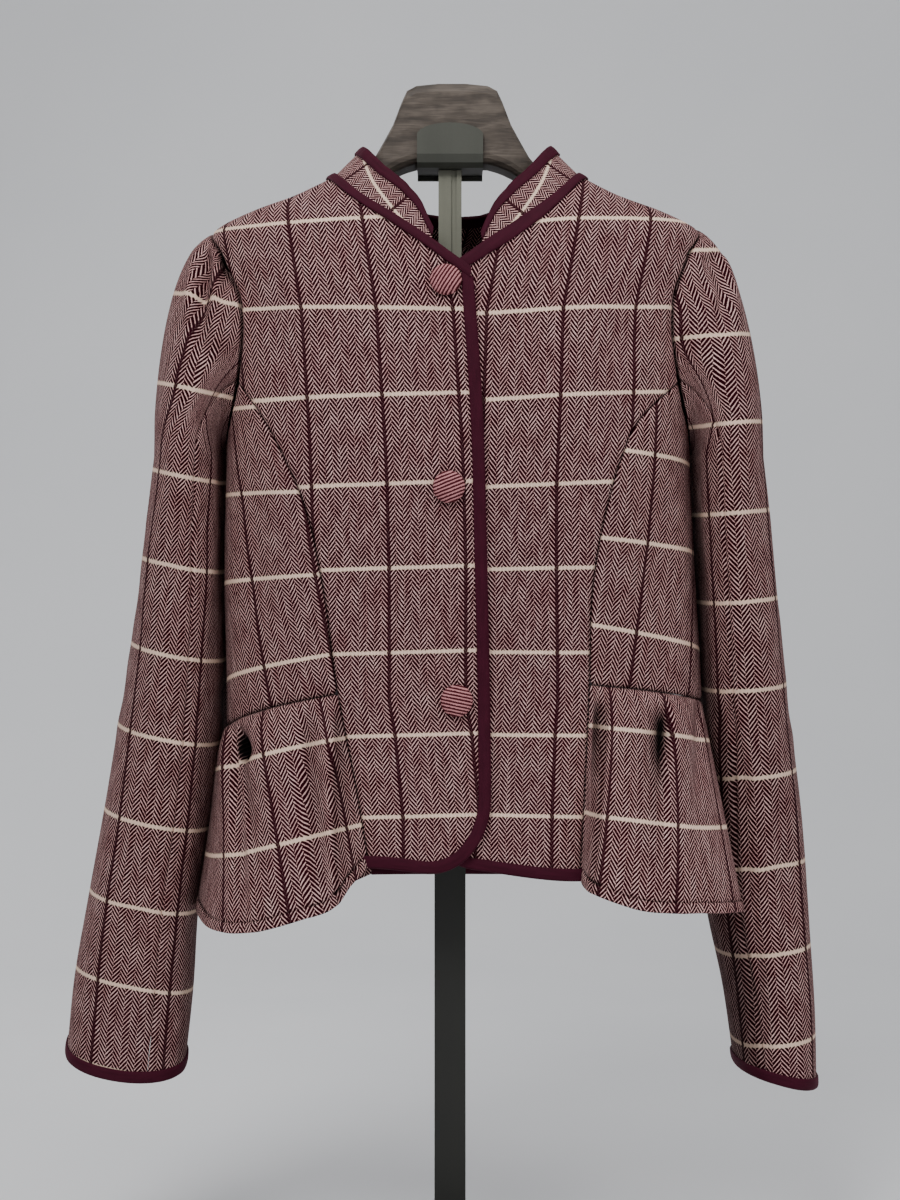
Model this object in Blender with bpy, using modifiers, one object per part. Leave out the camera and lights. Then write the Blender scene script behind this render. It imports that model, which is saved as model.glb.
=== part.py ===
"""A checked jacket with a stand collar and pleated side peplums, hung on a display stand.

Metres, +Z up, and the wearer's front faces -Y. The origin is the middle of the base's underside.
"right" and "left" are the wearer's own, so the right half of the jacket is at -X.
"""

import math
from collections import namedtuple

import bmesh
import bpy
import numpy as np
from mathutils import Vector

# Cloth
CLOTH = 0.002          # thickness of the tweed wall
SEAM = 0.0003          # gap between two pieces at a seam
TAPE = 0.001           # thickness of the binding tape
TAPE_WIDTH = 0.0075    # width of the binding on each face
LAP_DEPTH = 0.0062     # how far the left front lies behind the right one
LAP_FADE = (0.026, 0.090)   # from the centre, where the left front starts and ends coming forward

# Body of the jacket, by level
CENTRE_X = 0.005       # the jacket hangs this far to one side of the post
TorsoLevel = namedtuple("TorsoLevel", "height right_half left_half front_depth back_depth squareness")
TORSO_LEVELS = [
    TorsoLevel(0.250, 0.170, 0.182, 0.096, 0.090, 2.4),
    TorsoLevel(0.305, 0.170, 0.182, 0.092, 0.087, 2.4),
    TorsoLevel(0.370, 0.172, 0.182, 0.085, 0.079, 2.4),
    TorsoLevel(0.430, 0.172, 0.183, 0.080, 0.074, 2.4),
    TorsoLevel(0.520, 0.1735, 0.178, 0.085, 0.078, 2.5),
    TorsoLevel(0.600, 0.172, 0.174, 0.089, 0.084, 2.6),
    TorsoLevel(0.660, 0.171, 0.173, 0.087, 0.086, 2.7),
    TorsoLevel(0.720, 0.175, 0.175, 0.079, 0.083, 2.7),
    TorsoLevel(0.757, 0.182, 0.181, 0.070, 0.077, 2.7),
    TorsoLevel(0.777, 0.181, 0.181, 0.062, 0.071, 2.6),
    TorsoLevel(0.791, 0.156, 0.156, 0.053, 0.062, 2.5),
    TorsoLevel(0.804, 0.122, 0.122, 0.043, 0.051, 2.5),
    TorsoLevel(0.8145, 0.101, 0.102, 0.034, 0.041, 2.5),
    TorsoLevel(0.8205, 0.091, 0.092, 0.028, 0.035, 2.5),
    TorsoLevel(0.830, 0.078, 0.079, 0.020, 0.026, 2.5),
]

# Seams. Offsets are distances from the centre line, on the front or the back of the jacket.
NECK_POINT_Z = 0.8205
BACK_NECK_Z = 0.778
BACK_NECK_CURVE = 2.8      # how fast the back neckline climbs towards the neck points
SHOULDER_TIP_Z = {-1: 0.777, 1: 0.781}
PIT_Z = 0.741              # where the neckline meets the front edge
NeckRow = namedtuple("NeckRow", "height offset")
NECKLINE = [
    NeckRow(0.7410, -0.010),
    NeckRow(0.7537, 0.007),
    NeckRow(0.7650, 0.022),
    NeckRow(0.7810, 0.045),
    NeckRow(0.7970, 0.068),
    NeckRow(0.8205, 0.0915),
]
EdgeRow = namedtuple("EdgeRow", "height overlap")
FRONT_EDGE = [
    EdgeRow(0.300, 0.0228),
    EdgeRow(0.360, 0.0228),
    EdgeRow(0.430, 0.0222),
    EdgeRow(0.530, 0.0200),
    EdgeRow(0.631, 0.0172),
    EdgeRow(0.741, 0.0100),
]
PrincessRow = namedtuple("PrincessRow", "height offset")
FRONT_PRINCESS = {
    -1: [
        PrincessRow(0.250, 0.053),
        PrincessRow(0.314, 0.063),
        PrincessRow(0.366, 0.072),
        PrincessRow(0.436, 0.086),
        PrincessRow(0.520, 0.098),
        PrincessRow(0.577, 0.112),
        PrincessRow(0.604, 0.1245),
        PrincessRow(0.631, 0.139),
    ],
    1: [
        PrincessRow(0.250, 0.084),
        PrincessRow(0.303, 0.088),
        PrincessRow(0.366, 0.092),
        PrincessRow(0.438, 0.0955),
        PrincessRow(0.520, 0.0985),
        PrincessRow(0.577, 0.110),
        PrincessRow(0.604, 0.1185),
        PrincessRow(0.631, 0.131),
    ],
}
BACK_PRINCESS = [
    PrincessRow(0.250, 0.060),
    PrincessRow(0.300, 0.066),
    PrincessRow(0.366, 0.074),
    PrincessRow(0.430, 0.085),
    PrincessRow(0.520, 0.095),
    PrincessRow(0.577, 0.108),
    PrincessRow(0.631, 0.131),
]
PRINCESS_TOP_Z = 0.662     # where the princess seams run into the armhole
WaistRow = namedtuple("WaistRow", "front side back")
WAIST_Z = {-1: WaistRow(0.435, 0.4075, 0.428), 1: WaistRow(0.442, 0.427, 0.438)}
FrontHem = namedtuple("FrontHem", "front side")
FRONT_HEM_Z = {-1: FrontHem(0.305, 0.313), 1: FrontHem(0.315, 0.3035)}
CORNER = {-1: (0.0485, 0.057), 1: (0.036, 0.030)}   # width and height of the rounded lower corner
BACK_HEM_Z = 0.288

# Armhole, as a loop seen from the side
ARMHOLE_BOTTOM_Z = 0.617
ARMHOLE_FRONT = 0.048
ARMHOLE_BACK = 0.050

# Sleeves, by level. "outer" and "inner" are distances from the post's axis.
SleeveLevel = namedtuple("SleeveLevel", "height outer inner middle_y half_depth")
SLEEVES = {
    -1: [
        SleeveLevel(0.6075, 0.2210, 0.1685, 0.000, 0.070),
        SleeveLevel(0.5400, 0.2290, 0.1690, 0.001, 0.067),
        SleeveLevel(0.4725, 0.2380, 0.1690, 0.002, 0.062),
        SleeveLevel(0.4125, 0.2475, 0.1715, 0.002, 0.057),
        SleeveLevel(0.3525, 0.2570, 0.1775, 0.000, 0.052),
        SleeveLevel(0.2775, 0.2700, 0.1885, -0.003, 0.046),
        SleeveLevel(0.2175, 0.2800, 0.1920, -0.006, 0.040),
        SleeveLevel(0.1630, 0.2850, 0.1975, -0.009, 0.037),
    ],
    1: [
        SleeveLevel(0.6075, 0.2340, 0.1810, 0.000, 0.069),
        SleeveLevel(0.5325, 0.2420, 0.1845, 0.002, 0.066),
        SleeveLevel(0.4725, 0.2490, 0.1875, 0.008, 0.063),
        SleeveLevel(0.4275, 0.2550, 0.1892, 0.016, 0.060),
        SleeveLevel(0.3525, 0.2665, 0.1915, 0.032, 0.054),
        SleeveLevel(0.2660, 0.2750, 0.1965, 0.044, 0.047),
        SleeveLevel(0.1950, 0.2800, 0.2110, 0.047, 0.048),
        SleeveLevel(0.1400, 0.2810, 0.2190, 0.047, 0.0485),
    ],
}
CUFF_FRONT_DROP = {-1: 0.011, 1: 0.001}    # how far the front of the cuff hangs below its middle
CUFF_OUTER_DROP = {-1: -0.006, 1: 0.008}   # the same for its outer side
CAP_REACH = {-1: 0.095, 1: 0.090}          # how far the sleeve head stands out before it turns down
BACK_SWELL = 0.014                         # how far a sleeve's inner back corner stands in behind the body
BACK_SWELL_FOOT = 0.36                     # height where that swell starts
BACK_SWELL_FADE = 0.08                     # and the height over which it comes and goes
CAP_SHARE = 0.30                           # share of the sleeve's rows that form the head
CAP_FALL = 0.15                            # how steeply the head leaves the shoulder
CAP_SPREAD = 0.25                          # how far the head swells to the front and the back
UNDERARM_REACH, UNDERARM_FALL = 0.5, 0.35  # the same at the underarm
TUCK_START = 0.02                          # share of the sleeve over which a tuck deepens below the seam
TUCK_LEAN = (0.8, 1.0, 0.5)                # how a tuck sinks: sideways, back and down
CapTuck = namedtuple("CapTuck", "angle width depth length")
CAP_TUCKS = [                              # folds of the sleeve head, from its top
    CapTuck(math.radians(32), math.radians(9), 0.0045, 0.45),
    CapTuck(math.radians(4), math.radians(9), 0.0030, 0.35),
    CapTuck(math.radians(-28), math.radians(9), 0.0040, 0.40),
]

# Peplums. Each row is a fold of the hem, in order from the front princess seam to the back one.
HemFold = namedtuple("HemFold", "waist_share x y z puff")
PEPLUM_HEMS = {
    -1: [
        HemFold(0.00, -0.0580, -0.0935, 0.3130, 0.000),
        HemFold(0.04, -0.0700, -0.1060, 0.3010, 0.002),
        HemFold(0.09, -0.0810, -0.1150, 0.2870, 0.005),
        HemFold(0.18, -0.1050, -0.1180, 0.2790, 0.007),
        HemFold(0.27, -0.1310, -0.1120, 0.2710, 0.006),
        HemFold(0.33, -0.1460, -0.1030, 0.2680, -0.009),
        HemFold(0.38, -0.1620, -0.0880, 0.2660, 0.005),
        HemFold(0.45, -0.1800, -0.0620, 0.2655, 0.002),
        HemFold(0.53, -0.1875, -0.0250, 0.2720, 0.001),
        HemFold(0.60, -0.1840, 0.0220, 0.2760, 0.001),
        HemFold(0.66, -0.1660, 0.0700, 0.2750, 0.003),
        HemFold(0.71, -0.1460, 0.0830, 0.2730, -0.008),
        HemFold(0.77, -0.1200, 0.1030, 0.2730, 0.006),
        HemFold(0.90, -0.0850, 0.1080, 0.2760, 0.005),
        HemFold(1.00, -0.0615, 0.0880, 0.2880, 0.000),
    ],
    1: [
        HemFold(0.00, 0.0930, -0.0915, 0.3035, 0.000),
        HemFold(0.03, 0.0955, -0.1020, 0.2990, 0.002),
        HemFold(0.07, 0.1030, -0.1110, 0.2950, 0.005),
        HemFold(0.17, 0.1330, -0.1180, 0.2860, 0.007),
        HemFold(0.27, 0.1600, -0.1120, 0.2830, 0.005),
        HemFold(0.33, 0.1770, -0.1030, 0.2820, -0.009),
        HemFold(0.38, 0.1960, -0.0880, 0.2800, 0.006),
        HemFold(0.44, 0.2120, -0.0640, 0.2780, 0.005),
        HemFold(0.49, 0.1960, -0.0400, 0.2760, 0.000),
        HemFold(0.54, 0.1800, -0.0120, 0.2720, -0.002),
        HemFold(0.62, 0.1800, 0.0350, 0.2700, 0.001),
        HemFold(0.70, 0.1650, 0.0780, 0.2720, -0.006),
        HemFold(0.77, 0.1420, 0.1010, 0.2760, 0.006),
        HemFold(0.90, 0.1020, 0.1080, 0.2800, 0.005),
        HemFold(1.00, 0.0715, 0.0880, 0.2880, 0.000),
    ],
}
PUFF_PEAK = 0.16           # share of the peplum's length where it stands out furthest under the seam
PEPLUM_SEAM_HOLD = 0.10    # share of the peplum's width that follows the princess seam

# Collar
CollarRow = namedtuple("CollarRow", "share height lean")
COLLAR = [                 # share runs from a front end, 0, to the middle of the back, 1
    CollarRow(0.00, 0.0100, 0.52),
    CollarRow(0.06, 0.0240, 0.56),
    CollarRow(0.13, 0.0295, 0.60),
    CollarRow(0.26, 0.0310, 0.64),
    CollarRow(0.50, 0.0290, 0.72),
    CollarRow(0.75, 0.0285, 0.74),
    CollarRow(1.00, 0.0280, 0.72),
]
COLLAR_START = 0.036       # length of neckline left free at each front end
NECK_AXIS_Y = 0.012
NECK_TAPE_WIDTH = 0.0070
BINDING_TOP = (0.0045, 0.0135)   # how far below the neck pit the front binding ends, outside and inside
NECK_TAPE_GAP = 0.0011     # how far the tape on the neck seam stands off the cloth
TAPE_GAP = 0.0006          # how far the folded tapes stand off the cloth

# Buttons, on the right front
BUTTON_RADIUS = 0.0118
BUTTON_HEIGHT = 0.0062
BUTTON_LIFT = 0.0020       # the shank's length
SHANK_RADIUS = 0.0035
BUTTON_RIM = 0.0018        # height of the button's edge under its dome
BUTTON_UNDER = 0.0113      # radius of the button's flat underside
BUTTON_SEAT = 0.0006       # the shank's foot stands this far off the cloth
BUTTON_PLACES = [(-0.0030, 0.7310), (-0.0008, 0.5830), (0.0048, 0.4305)]

# Stand
HANGER_REST = 0.0005       # clearance between the hanger and the cloth on it
SLOPE_STEP = 0.005         # distance over which the shoulder's slope is read
HangerArm = namedtuple("HangerArm", "reach sink height half_thickness")
HANGER_ARMS = [            # reach from the jacket's centre; the top lies under the shoulder by its sink
    HangerArm(0.160, 0.0040, 0.020, 0.0085),
    HangerArm(0.154, 0.0010, 0.026, 0.0110),
    HangerArm(0.138, 0.0000, 0.029, 0.0115),
    HangerArm(0.120, 0.0000, 0.030, 0.0115),
    HangerArm(0.103, 0.0014, 0.030, 0.0115),
    HangerArm(0.088, 0.0030, 0.028, 0.0120),
]
HangerNeck = namedtuple("HangerNeck", "half_width top bottom half_thickness")
HANGER_NECK = [
    HangerNeck(0.0680, 0.8205, 0.7990, 0.0140),
    HangerNeck(0.0575, 0.8325, 0.8100, 0.0165),
    HangerNeck(0.0510, 0.8435, 0.8160, 0.0185),
    HangerNeck(0.0440, 0.8560, 0.8205, 0.0195),
    HangerNeck(0.0375, 0.8730, 0.8235, 0.0195),
    HangerNeck(0.0335, 0.8815, 0.8250, 0.0195),
    HangerNeck(0.0265, 0.8852, 0.8270, 0.0195),
    HangerNeck(0.0100, 0.8868, 0.8270, 0.0195),
]
HANGER_ROUND = 0.007       # radius of the long edges at the hanger's neck
ARM_ROUND = 0.95           # radius of the arms' long edges, as a share of their half thickness
HANGER_NECK_X = 0.0015
HANGER_ARCH_Z = 0.8270
BRACKET_WIDTH = 0.049
BRACKET_WALL = 0.003
BRACKET_TOP_Z = 0.8560
BRACKET_SHOULDER_Z = 0.8460
BRACKET_LIP_Z = 0.8328      # where the front cheek starts to turn under
BRACKET_BEND = (0.0022, 0.0062)   # how far the bend has come in at its middle and at the floor
BRACKET_BEND_Z = 0.8268
BRACKET_FLOOR_Z = 0.8235
BRACKET_BACK_Z = 0.8205     # foot of the back cheek
CUTTER_MARGIN = 0.0005     # how far a cutter reaches past what it trims
ROD_WIDTH = 0.0172
ROD_GROOVE = (0.0040, 0.0016)   # width and depth of the slot in the rod's front
ROD_GROOVE_X = 0.0030
POST_WIDTH = 0.0232
POST_WALL = 0.0027
POST_TOP_Z = 0.560
ROD_FOOT_Z = 0.470
BASE_SIZE = (0.320, 0.240, 0.008)
BASE_CORNER = 0.018
BASE_EDGE = 0.0015         # bevel of the base's edges

SIDES = {-1: "right", 1: "left"}
COLLECTION_NAME = "checked_jacket_on_stand"
HALF_TURN = math.pi
QUARTER_TURN = math.pi / 2


# Curves and tables

def smooth(at, knots, values):
    """A cubic curve through the knots whose slopes come from the neighbouring knots."""
    at = np.asarray(at, float)
    knots = np.asarray(knots, float)
    values = np.asarray(values, float)
    slopes = np.gradient(values, knots)
    i = np.clip(np.searchsorted(knots, at) - 1, 0, len(knots) - 2)
    width = knots[i + 1] - knots[i]
    t = np.clip((at - knots[i]) / width, 0, 1)
    start = (2 * t**3 - 3 * t**2 + 1) * values[i] + (t**3 - 2 * t**2 + t) * width * slopes[i]
    end = (3 * t**2 - 2 * t**3) * values[i + 1] + (t**3 - t**2) * width * slopes[i + 1]
    return start + end


def column(table, name):
    return [getattr(row, name) for row in table]


def read(table, name, at, key="height"):
    return smooth(at, column(table, key), column(table, name))


def ease(t):
    t = np.clip(t, 0, 1)
    return t * t * (3 - 2 * t)


def unit(vectors):
    return vectors / np.linalg.norm(vectors, axis=-1, keepdims=True)


def normals(surface, a, b, step=2e-4):
    """Outward normals of a surface of two parameters."""
    along_a = surface(a + step, b) - surface(a - step, b)
    along_b = surface(a, b + step) - surface(a, b - step)
    return unit(np.cross(along_a, along_b))


# The body's surface: an angle round the body, 0 at the front and negative on the right, and a height

def half_width(on_right, height):
    right = read(TORSO_LEVELS, "right_half", height)
    left = read(TORSO_LEVELS, "left_half", height)
    return np.where(on_right, right, left)


def half_depth(in_front, height):
    front = read(TORSO_LEVELS, "front_depth", height)
    back = read(TORSO_LEVELS, "back_depth", height)
    return np.where(in_front, front, back)


def torso(angle, height):
    angle, height = np.broadcast_arrays(np.asarray(angle, float), np.asarray(height, float))
    power = read(TORSO_LEVELS, "squareness", height)
    sine, cosine = np.sin(angle), np.cos(angle)
    reach = (np.abs(sine) ** power + np.abs(cosine) ** power) ** (-1 / power)
    x = CENTRE_X + half_width(angle < 0, height) * sine * reach
    y = -half_depth(np.abs(angle) < QUARTER_TURN, height) * cosine * reach
    return np.stack([x, y, height], axis=-1)


def angle_at_offset(offset, height, at_back=False):
    """The angle on the front or back at a signed distance from the centre line."""
    offset, height = np.broadcast_arrays(np.asarray(offset, float), np.asarray(height, float))
    power = read(TORSO_LEVELS, "squareness", height)
    share = np.clip(np.abs(offset) / half_width(offset < 0, height), 0, 0.999999)
    angle = np.arctan2(share, (1 - share**power) ** (1 / power))
    return np.sign(offset) * (HALF_TURN - angle if at_back else angle)


def angle_at_depth(side, y, height):
    """The angle on one side of the body at a given depth."""
    power = read(TORSO_LEVELS, "squareness", height)
    share = np.clip(abs(y) / half_depth(y < 0, height), 1e-6, 0.999999)
    angle = np.arctan2((1 - share**power) ** (1 / power), share)
    return side * (angle if y < 0 else HALF_TURN - angle)


def lap_sink(x):
    """How far the left front lies inside the body's surface."""
    near, far = LAP_FADE
    return LAP_DEPTH * (1 - ease((x - CENTRE_X - near) / (far - near)))


def front_surface(side):
    """The body's surface for one front. The left front dips under the right one."""
    if side < 0:
        return torso

    def dipped(angle, height):
        points = torso(angle, height)
        return points - normals(torso, angle, height) * lap_sink(points[..., 0])[..., None]

    return dipped


# Seam lines, as pairs of angle and height

def armhole(side, turn):
    """A point of the armhole. turn is 0 at the shoulder, a quarter turn in front and a half turn below."""
    top = SHOULDER_TIP_Z[side]
    middle, half_height = (top + ARMHOLE_BOTTOM_Z) / 2, (top - ARMHOLE_BOTTOM_Z) / 2
    height = middle + half_height * math.cos(turn)
    y = -math.sin(turn) * (ARMHOLE_FRONT if math.sin(turn) > 0 else ARMHOLE_BACK)
    if abs(y) < 1e-7:
        return side * QUARTER_TURN, height
    return float(angle_at_depth(side, y, height)), height


def armhole_turn(side, height):
    top = SHOULDER_TIP_Z[side]
    middle, half_height = (top + ARMHOLE_BOTTOM_Z) / 2, (top - ARMHOLE_BOTTOM_Z) / 2
    return math.acos((height - middle) / half_height)


def princess(side, height, at_back=False):
    """The angle of a princess seam at a height."""
    table = BACK_PRINCESS if at_back else FRONT_PRINCESS[side]
    turn = armhole_turn(side, PRINCESS_TOP_Z)
    top_angle, _ = armhole(side, -turn if at_back else turn)
    top_offset = abs(torso(top_angle, PRINCESS_TOP_Z)[0] - CENTRE_X)
    knots = column(table, "height") + [PRINCESS_TOP_Z]
    offsets = column(table, "offset") + [top_offset]
    return angle_at_offset(side * smooth(height, knots, offsets), height, at_back)


def neck_offset(side, height):
    return side * read(NECKLINE, "offset", height)


def edge_offset(side, height):
    """Each front reaches past the centre line by its overlap."""
    return -side * read(FRONT_EDGE, "overlap", height)


def back_neck_height(offset):
    rise = NECK_POINT_Z - BACK_NECK_Z
    return BACK_NECK_Z + rise * (np.abs(offset) / NECKLINE[-1].offset) ** BACK_NECK_CURVE


def waist_height(side, angle):
    row = WAIST_Z[side]
    knots = [math.radians(28), QUARTER_TURN, math.radians(151)]
    return smooth(np.abs(angle), knots, [row.front, row.side, row.back])


def front_hem_height(side, offset):
    """The front hem, with its rounded corner at the front edge."""
    row = FRONT_HEM_Z[side]
    width, height = CORNER[side]
    seam = float(read(FRONT_PRINCESS[side], "offset", row.side))
    edge = float(read(FRONT_EDGE, "overlap", row.front))
    from_edge = np.asarray(offset, float) * side + edge
    slope = row.front + (row.side - row.front) * ease(from_edge / (seam + edge))
    inside = np.clip(1 - from_edge / width, 0, 1)
    return slope + height * (1 - np.sqrt(1 - inside**2))


# Patches of the body's surface

def coons(bottom, top, left, right, across, up):
    """Fills four edges with a grid. across and up are the shares at which the edges were read."""
    u = np.asarray(across)[None, :, None]
    v = np.asarray(up)[:, None, None]
    corners = (
        (1 - u) * (1 - v) * bottom[0] + u * (1 - v) * bottom[-1] + (1 - u) * v * top[0] + u * v * top[-1]
    )
    return (1 - v) * bottom[None] + v * top[None] + (1 - u) * left[:, None] + u * right[:, None] - corners


def pairs(angles, heights):
    return np.stack(np.broadcast_arrays(np.asarray(angles, float), np.asarray(heights, float)), axis=-1)


def steps(*stops):
    """Numbers through the stops, each stop being a value and the count of steps that lead to it."""
    values = [stops[0][0]]
    for stop, count in stops[1:]:
        values.extend(np.linspace(values[-1], stop, count + 1)[1:])
    return np.array(values)


# Shares at which the fronts are divided: across, from the waist down, and from the waist up to the armhole
FRONT_COLUMNS = np.array([0.0, 0.03, 0.085, 0.16, 0.27, 0.42, 0.60, 0.80, 1.0])
SEAM_DOWN = np.array([0, 0.1, 0.22, 0.4, 0.6, 0.78, 0.918, 1.0])
SEAM_UP = np.array([0, 0.14, 0.28, 0.42, 0.56, 0.7, 0.82, 0.92, 1.0])
FRONT_BELOW = len(SEAM_DOWN) + len(SEAM_UP) - 2     # rows of a front below the armhole's foot
FRONT_MIDDLE, FRONT_ABOVE = 3, 7                    # rows from there to the neck pit, and to the shoulder


def seam_heights(waist, hem):
    """Heights of the rows that all the pieces share along a princess seam, from the hem up."""
    low = waist + (hem - waist) * SEAM_DOWN[::-1]
    high = waist + (PRINCESS_TOP_Z - waist) * SEAM_UP
    return np.concatenate([low[:-1], high])


def front_grid(side):
    """Angles and heights of a front, from the hem up and from the front edge to the side."""
    hem = FRONT_HEM_Z[side]
    corner_z = hem.front + CORNER[side][1]
    below = seam_heights(WAIST_Z[side].front, corner_z)
    above = steps((PRINCESS_TOP_Z, 0), (PIT_Z, FRONT_MIDDLE), (NECK_POINT_Z, FRONT_ABOVE))
    edge_z = np.concatenate([below[:-1], above])
    pit_row = FRONT_BELOW + FRONT_MIDDLE
    edge_x = np.where(edge_z < PIT_Z + 1e-9, edge_offset(side, edge_z), neck_offset(side, edge_z))
    edge_angle = angle_at_offset(edge_x, edge_z)
    edge_angle[-1] = side * QUARTER_TURN
    edge_angle[pit_row] = angle_at_offset(edge_offset(side, PIT_Z), PIT_Z)
    seam_z = seam_heights(WAIST_Z[side].front, hem.side)
    seam_angle = princess(side, seam_z)
    turns = np.linspace(armhole_turn(side, PRINCESS_TOP_Z), 0, FRONT_MIDDLE + FRONT_ABOVE + 1)[1:]
    arm = np.array([armhole(side, turn) for turn in turns])
    left = pairs(edge_angle, edge_z)
    right = np.concatenate([pairs(seam_angle, seam_z), arm])
    first, last = edge_offset(side, corner_z), side * float(read(FRONT_PRINCESS[side], "offset", hem.side))
    hem_x = first + (last - first) * FRONT_COLUMNS
    hem_z = front_hem_height(side, hem_x)
    bottom = pairs(angle_at_offset(hem_x, hem_z), hem_z)
    bottom[0], bottom[-1] = left[0], right[0]
    top_z = NECK_POINT_Z + (SHOULDER_TIP_Z[side] - NECK_POINT_Z) * FRONT_COLUMNS
    top = pairs(side * QUARTER_TURN, top_z)
    up = (edge_z - corner_z) / (NECK_POINT_Z - corner_z)
    return coons(bottom, top, left, right, FRONT_COLUMNS, up)


def under_turns(side):
    """Turns of the armhole's lower part, between the two princess seams."""
    turn = armhole_turn(side, PRINCESS_TOP_Z)
    return turn + (2 * math.pi - 2 * turn) * np.array(column(PEPLUM_HEMS[side], "waist_share"))


def upper_turns(side):
    """Turns of the armhole's upper part, from the back princess seam over the shoulder to the front one."""
    turn = armhole_turn(side, PRINCESS_TOP_Z)
    return steps((-turn, 0), (0, BACK_MIDDLE + BACK_ABOVE), (turn, FRONT_MIDDLE + FRONT_ABOVE))


def side_grid(side):
    """Angles and heights of a side panel, from the waist up and from front to back."""
    across = np.array(column(PEPLUM_HEMS[side], "waist_share"))
    up = SEAM_UP
    waist = WAIST_Z[side]
    front_z = waist.front + (PRINCESS_TOP_Z - waist.front) * up
    back_z = waist.back + (PRINCESS_TOP_Z - waist.back) * up
    left = pairs(princess(side, front_z), front_z)
    right = pairs(princess(side, back_z, at_back=True), back_z)
    waist_angle = left[0, 0] + (right[0, 0] - left[0, 0]) * across
    bottom = pairs(waist_angle, waist_height(side, waist_angle))
    top = np.array([armhole(side, turn) for turn in under_turns(side)])
    bottom[0], bottom[-1] = left[0], right[0]
    top[0], top[-1] = left[-1], right[-1]
    return coons(bottom, top, left, right, across, up)


BACK_MIDDLE, BACK_ABOVE = 3, 6     # rows of a back from the armhole's foot to the nape and to the shoulder
BACK_COLUMNS = np.linspace(0, 1, 7)


def back_neck_offsets():
    """Places along half the back neckline, closer together towards the neck point."""
    return NECKLINE[-1].offset * np.sin(np.linspace(0, QUARTER_TURN, BACK_ABOVE + 1))


def back_grid(side):
    """Angles and heights of half the back, from the hem up and from the centre seam to the side."""
    low_z = seam_heights(WAIST_Z[side].back, BACK_HEM_Z)
    above = steps((PRINCESS_TOP_Z, 0), (BACK_NECK_Z, BACK_MIDDLE))
    neck_x = side * back_neck_offsets()[1:]
    neck_z = back_neck_height(neck_x)
    neck = pairs(angle_at_offset(neck_x, neck_z, at_back=True), neck_z)
    neck[-1] = side * QUARTER_TURN, NECK_POINT_Z
    centre_z = np.concatenate([low_z[:-1], above])
    left = np.concatenate([pairs(side * HALF_TURN, centre_z), neck])
    turns = np.linspace(armhole_turn(side, PRINCESS_TOP_Z), 0, BACK_MIDDLE + BACK_ABOVE + 1)[1:]
    arm = np.array([armhole(side, -turn) for turn in turns])
    right = np.concatenate([pairs(princess(side, low_z, at_back=True), low_z), arm])
    bottom = pairs(left[0, 0] + (right[0, 0] - left[0, 0]) * BACK_COLUMNS, BACK_HEM_Z)
    top_z = NECK_POINT_Z + (SHOULDER_TIP_Z[side] - NECK_POINT_Z) * BACK_COLUMNS
    top = pairs(side * QUARTER_TURN, top_z)
    up = (left[:, 1] - BACK_HEM_Z) / (NECK_POINT_Z - BACK_HEM_Z)
    return coons(bottom, top, left, right, BACK_COLUMNS, up)


# Peplums

def peplum(side):
    """A peplum's surface: a place along its folds, 0 to 1 from front to back, and a share of its length."""
    table = PEPLUM_HEMS[side]
    keys = np.linspace(0, 1, len(table))
    waist = WAIST_Z[side]
    front = float(princess(side, waist.front))
    back = float(princess(side, waist.back, at_back=True))

    def surface(place, down):
        place, down = np.broadcast_arrays(np.asarray(place, float), np.asarray(down, float))
        share = smooth(place, keys, column(table, "waist_share"))
        angle = front + (back - front) * share
        top = torso(angle, waist_height(side, angle))
        hem = np.stack([smooth(place, keys, column(table, axis)) for axis in "xyz"], axis=-1)
        points = top + (hem - top) * down[..., None]
        outward = normals(torso, angle, waist_height(side, angle)) * [1, 1, 0]
        rise = down / PUFF_PEAK * np.exp(1 - down / PUFF_PEAK)
        stand = smooth(place, keys, column(table, "puff")) * rise
        points = points + unit(outward) * stand[..., None]
        for at_back in (False, True):
            from_seam = (1 - place) if at_back else place
            hold = (1 - ease(from_seam / PEPLUM_SEAM_HOLD))[..., None]
            start_z = waist.back if at_back else waist.front
            end_z = table[-1].z if at_back else table[0].z
            seam_z = start_z + (end_z - start_z) * down
            seam = torso(princess(side, seam_z, at_back), seam_z)
            row = table[-1] if at_back else table[0]
            start = torso(princess(side, start_z, at_back), start_z)
            chord = start + (np.array([row.x, row.y, row.z]) - start) * down[..., None]
            points = points + (seam - chord) * hold
        return points

    return surface


# Sleeves

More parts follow.
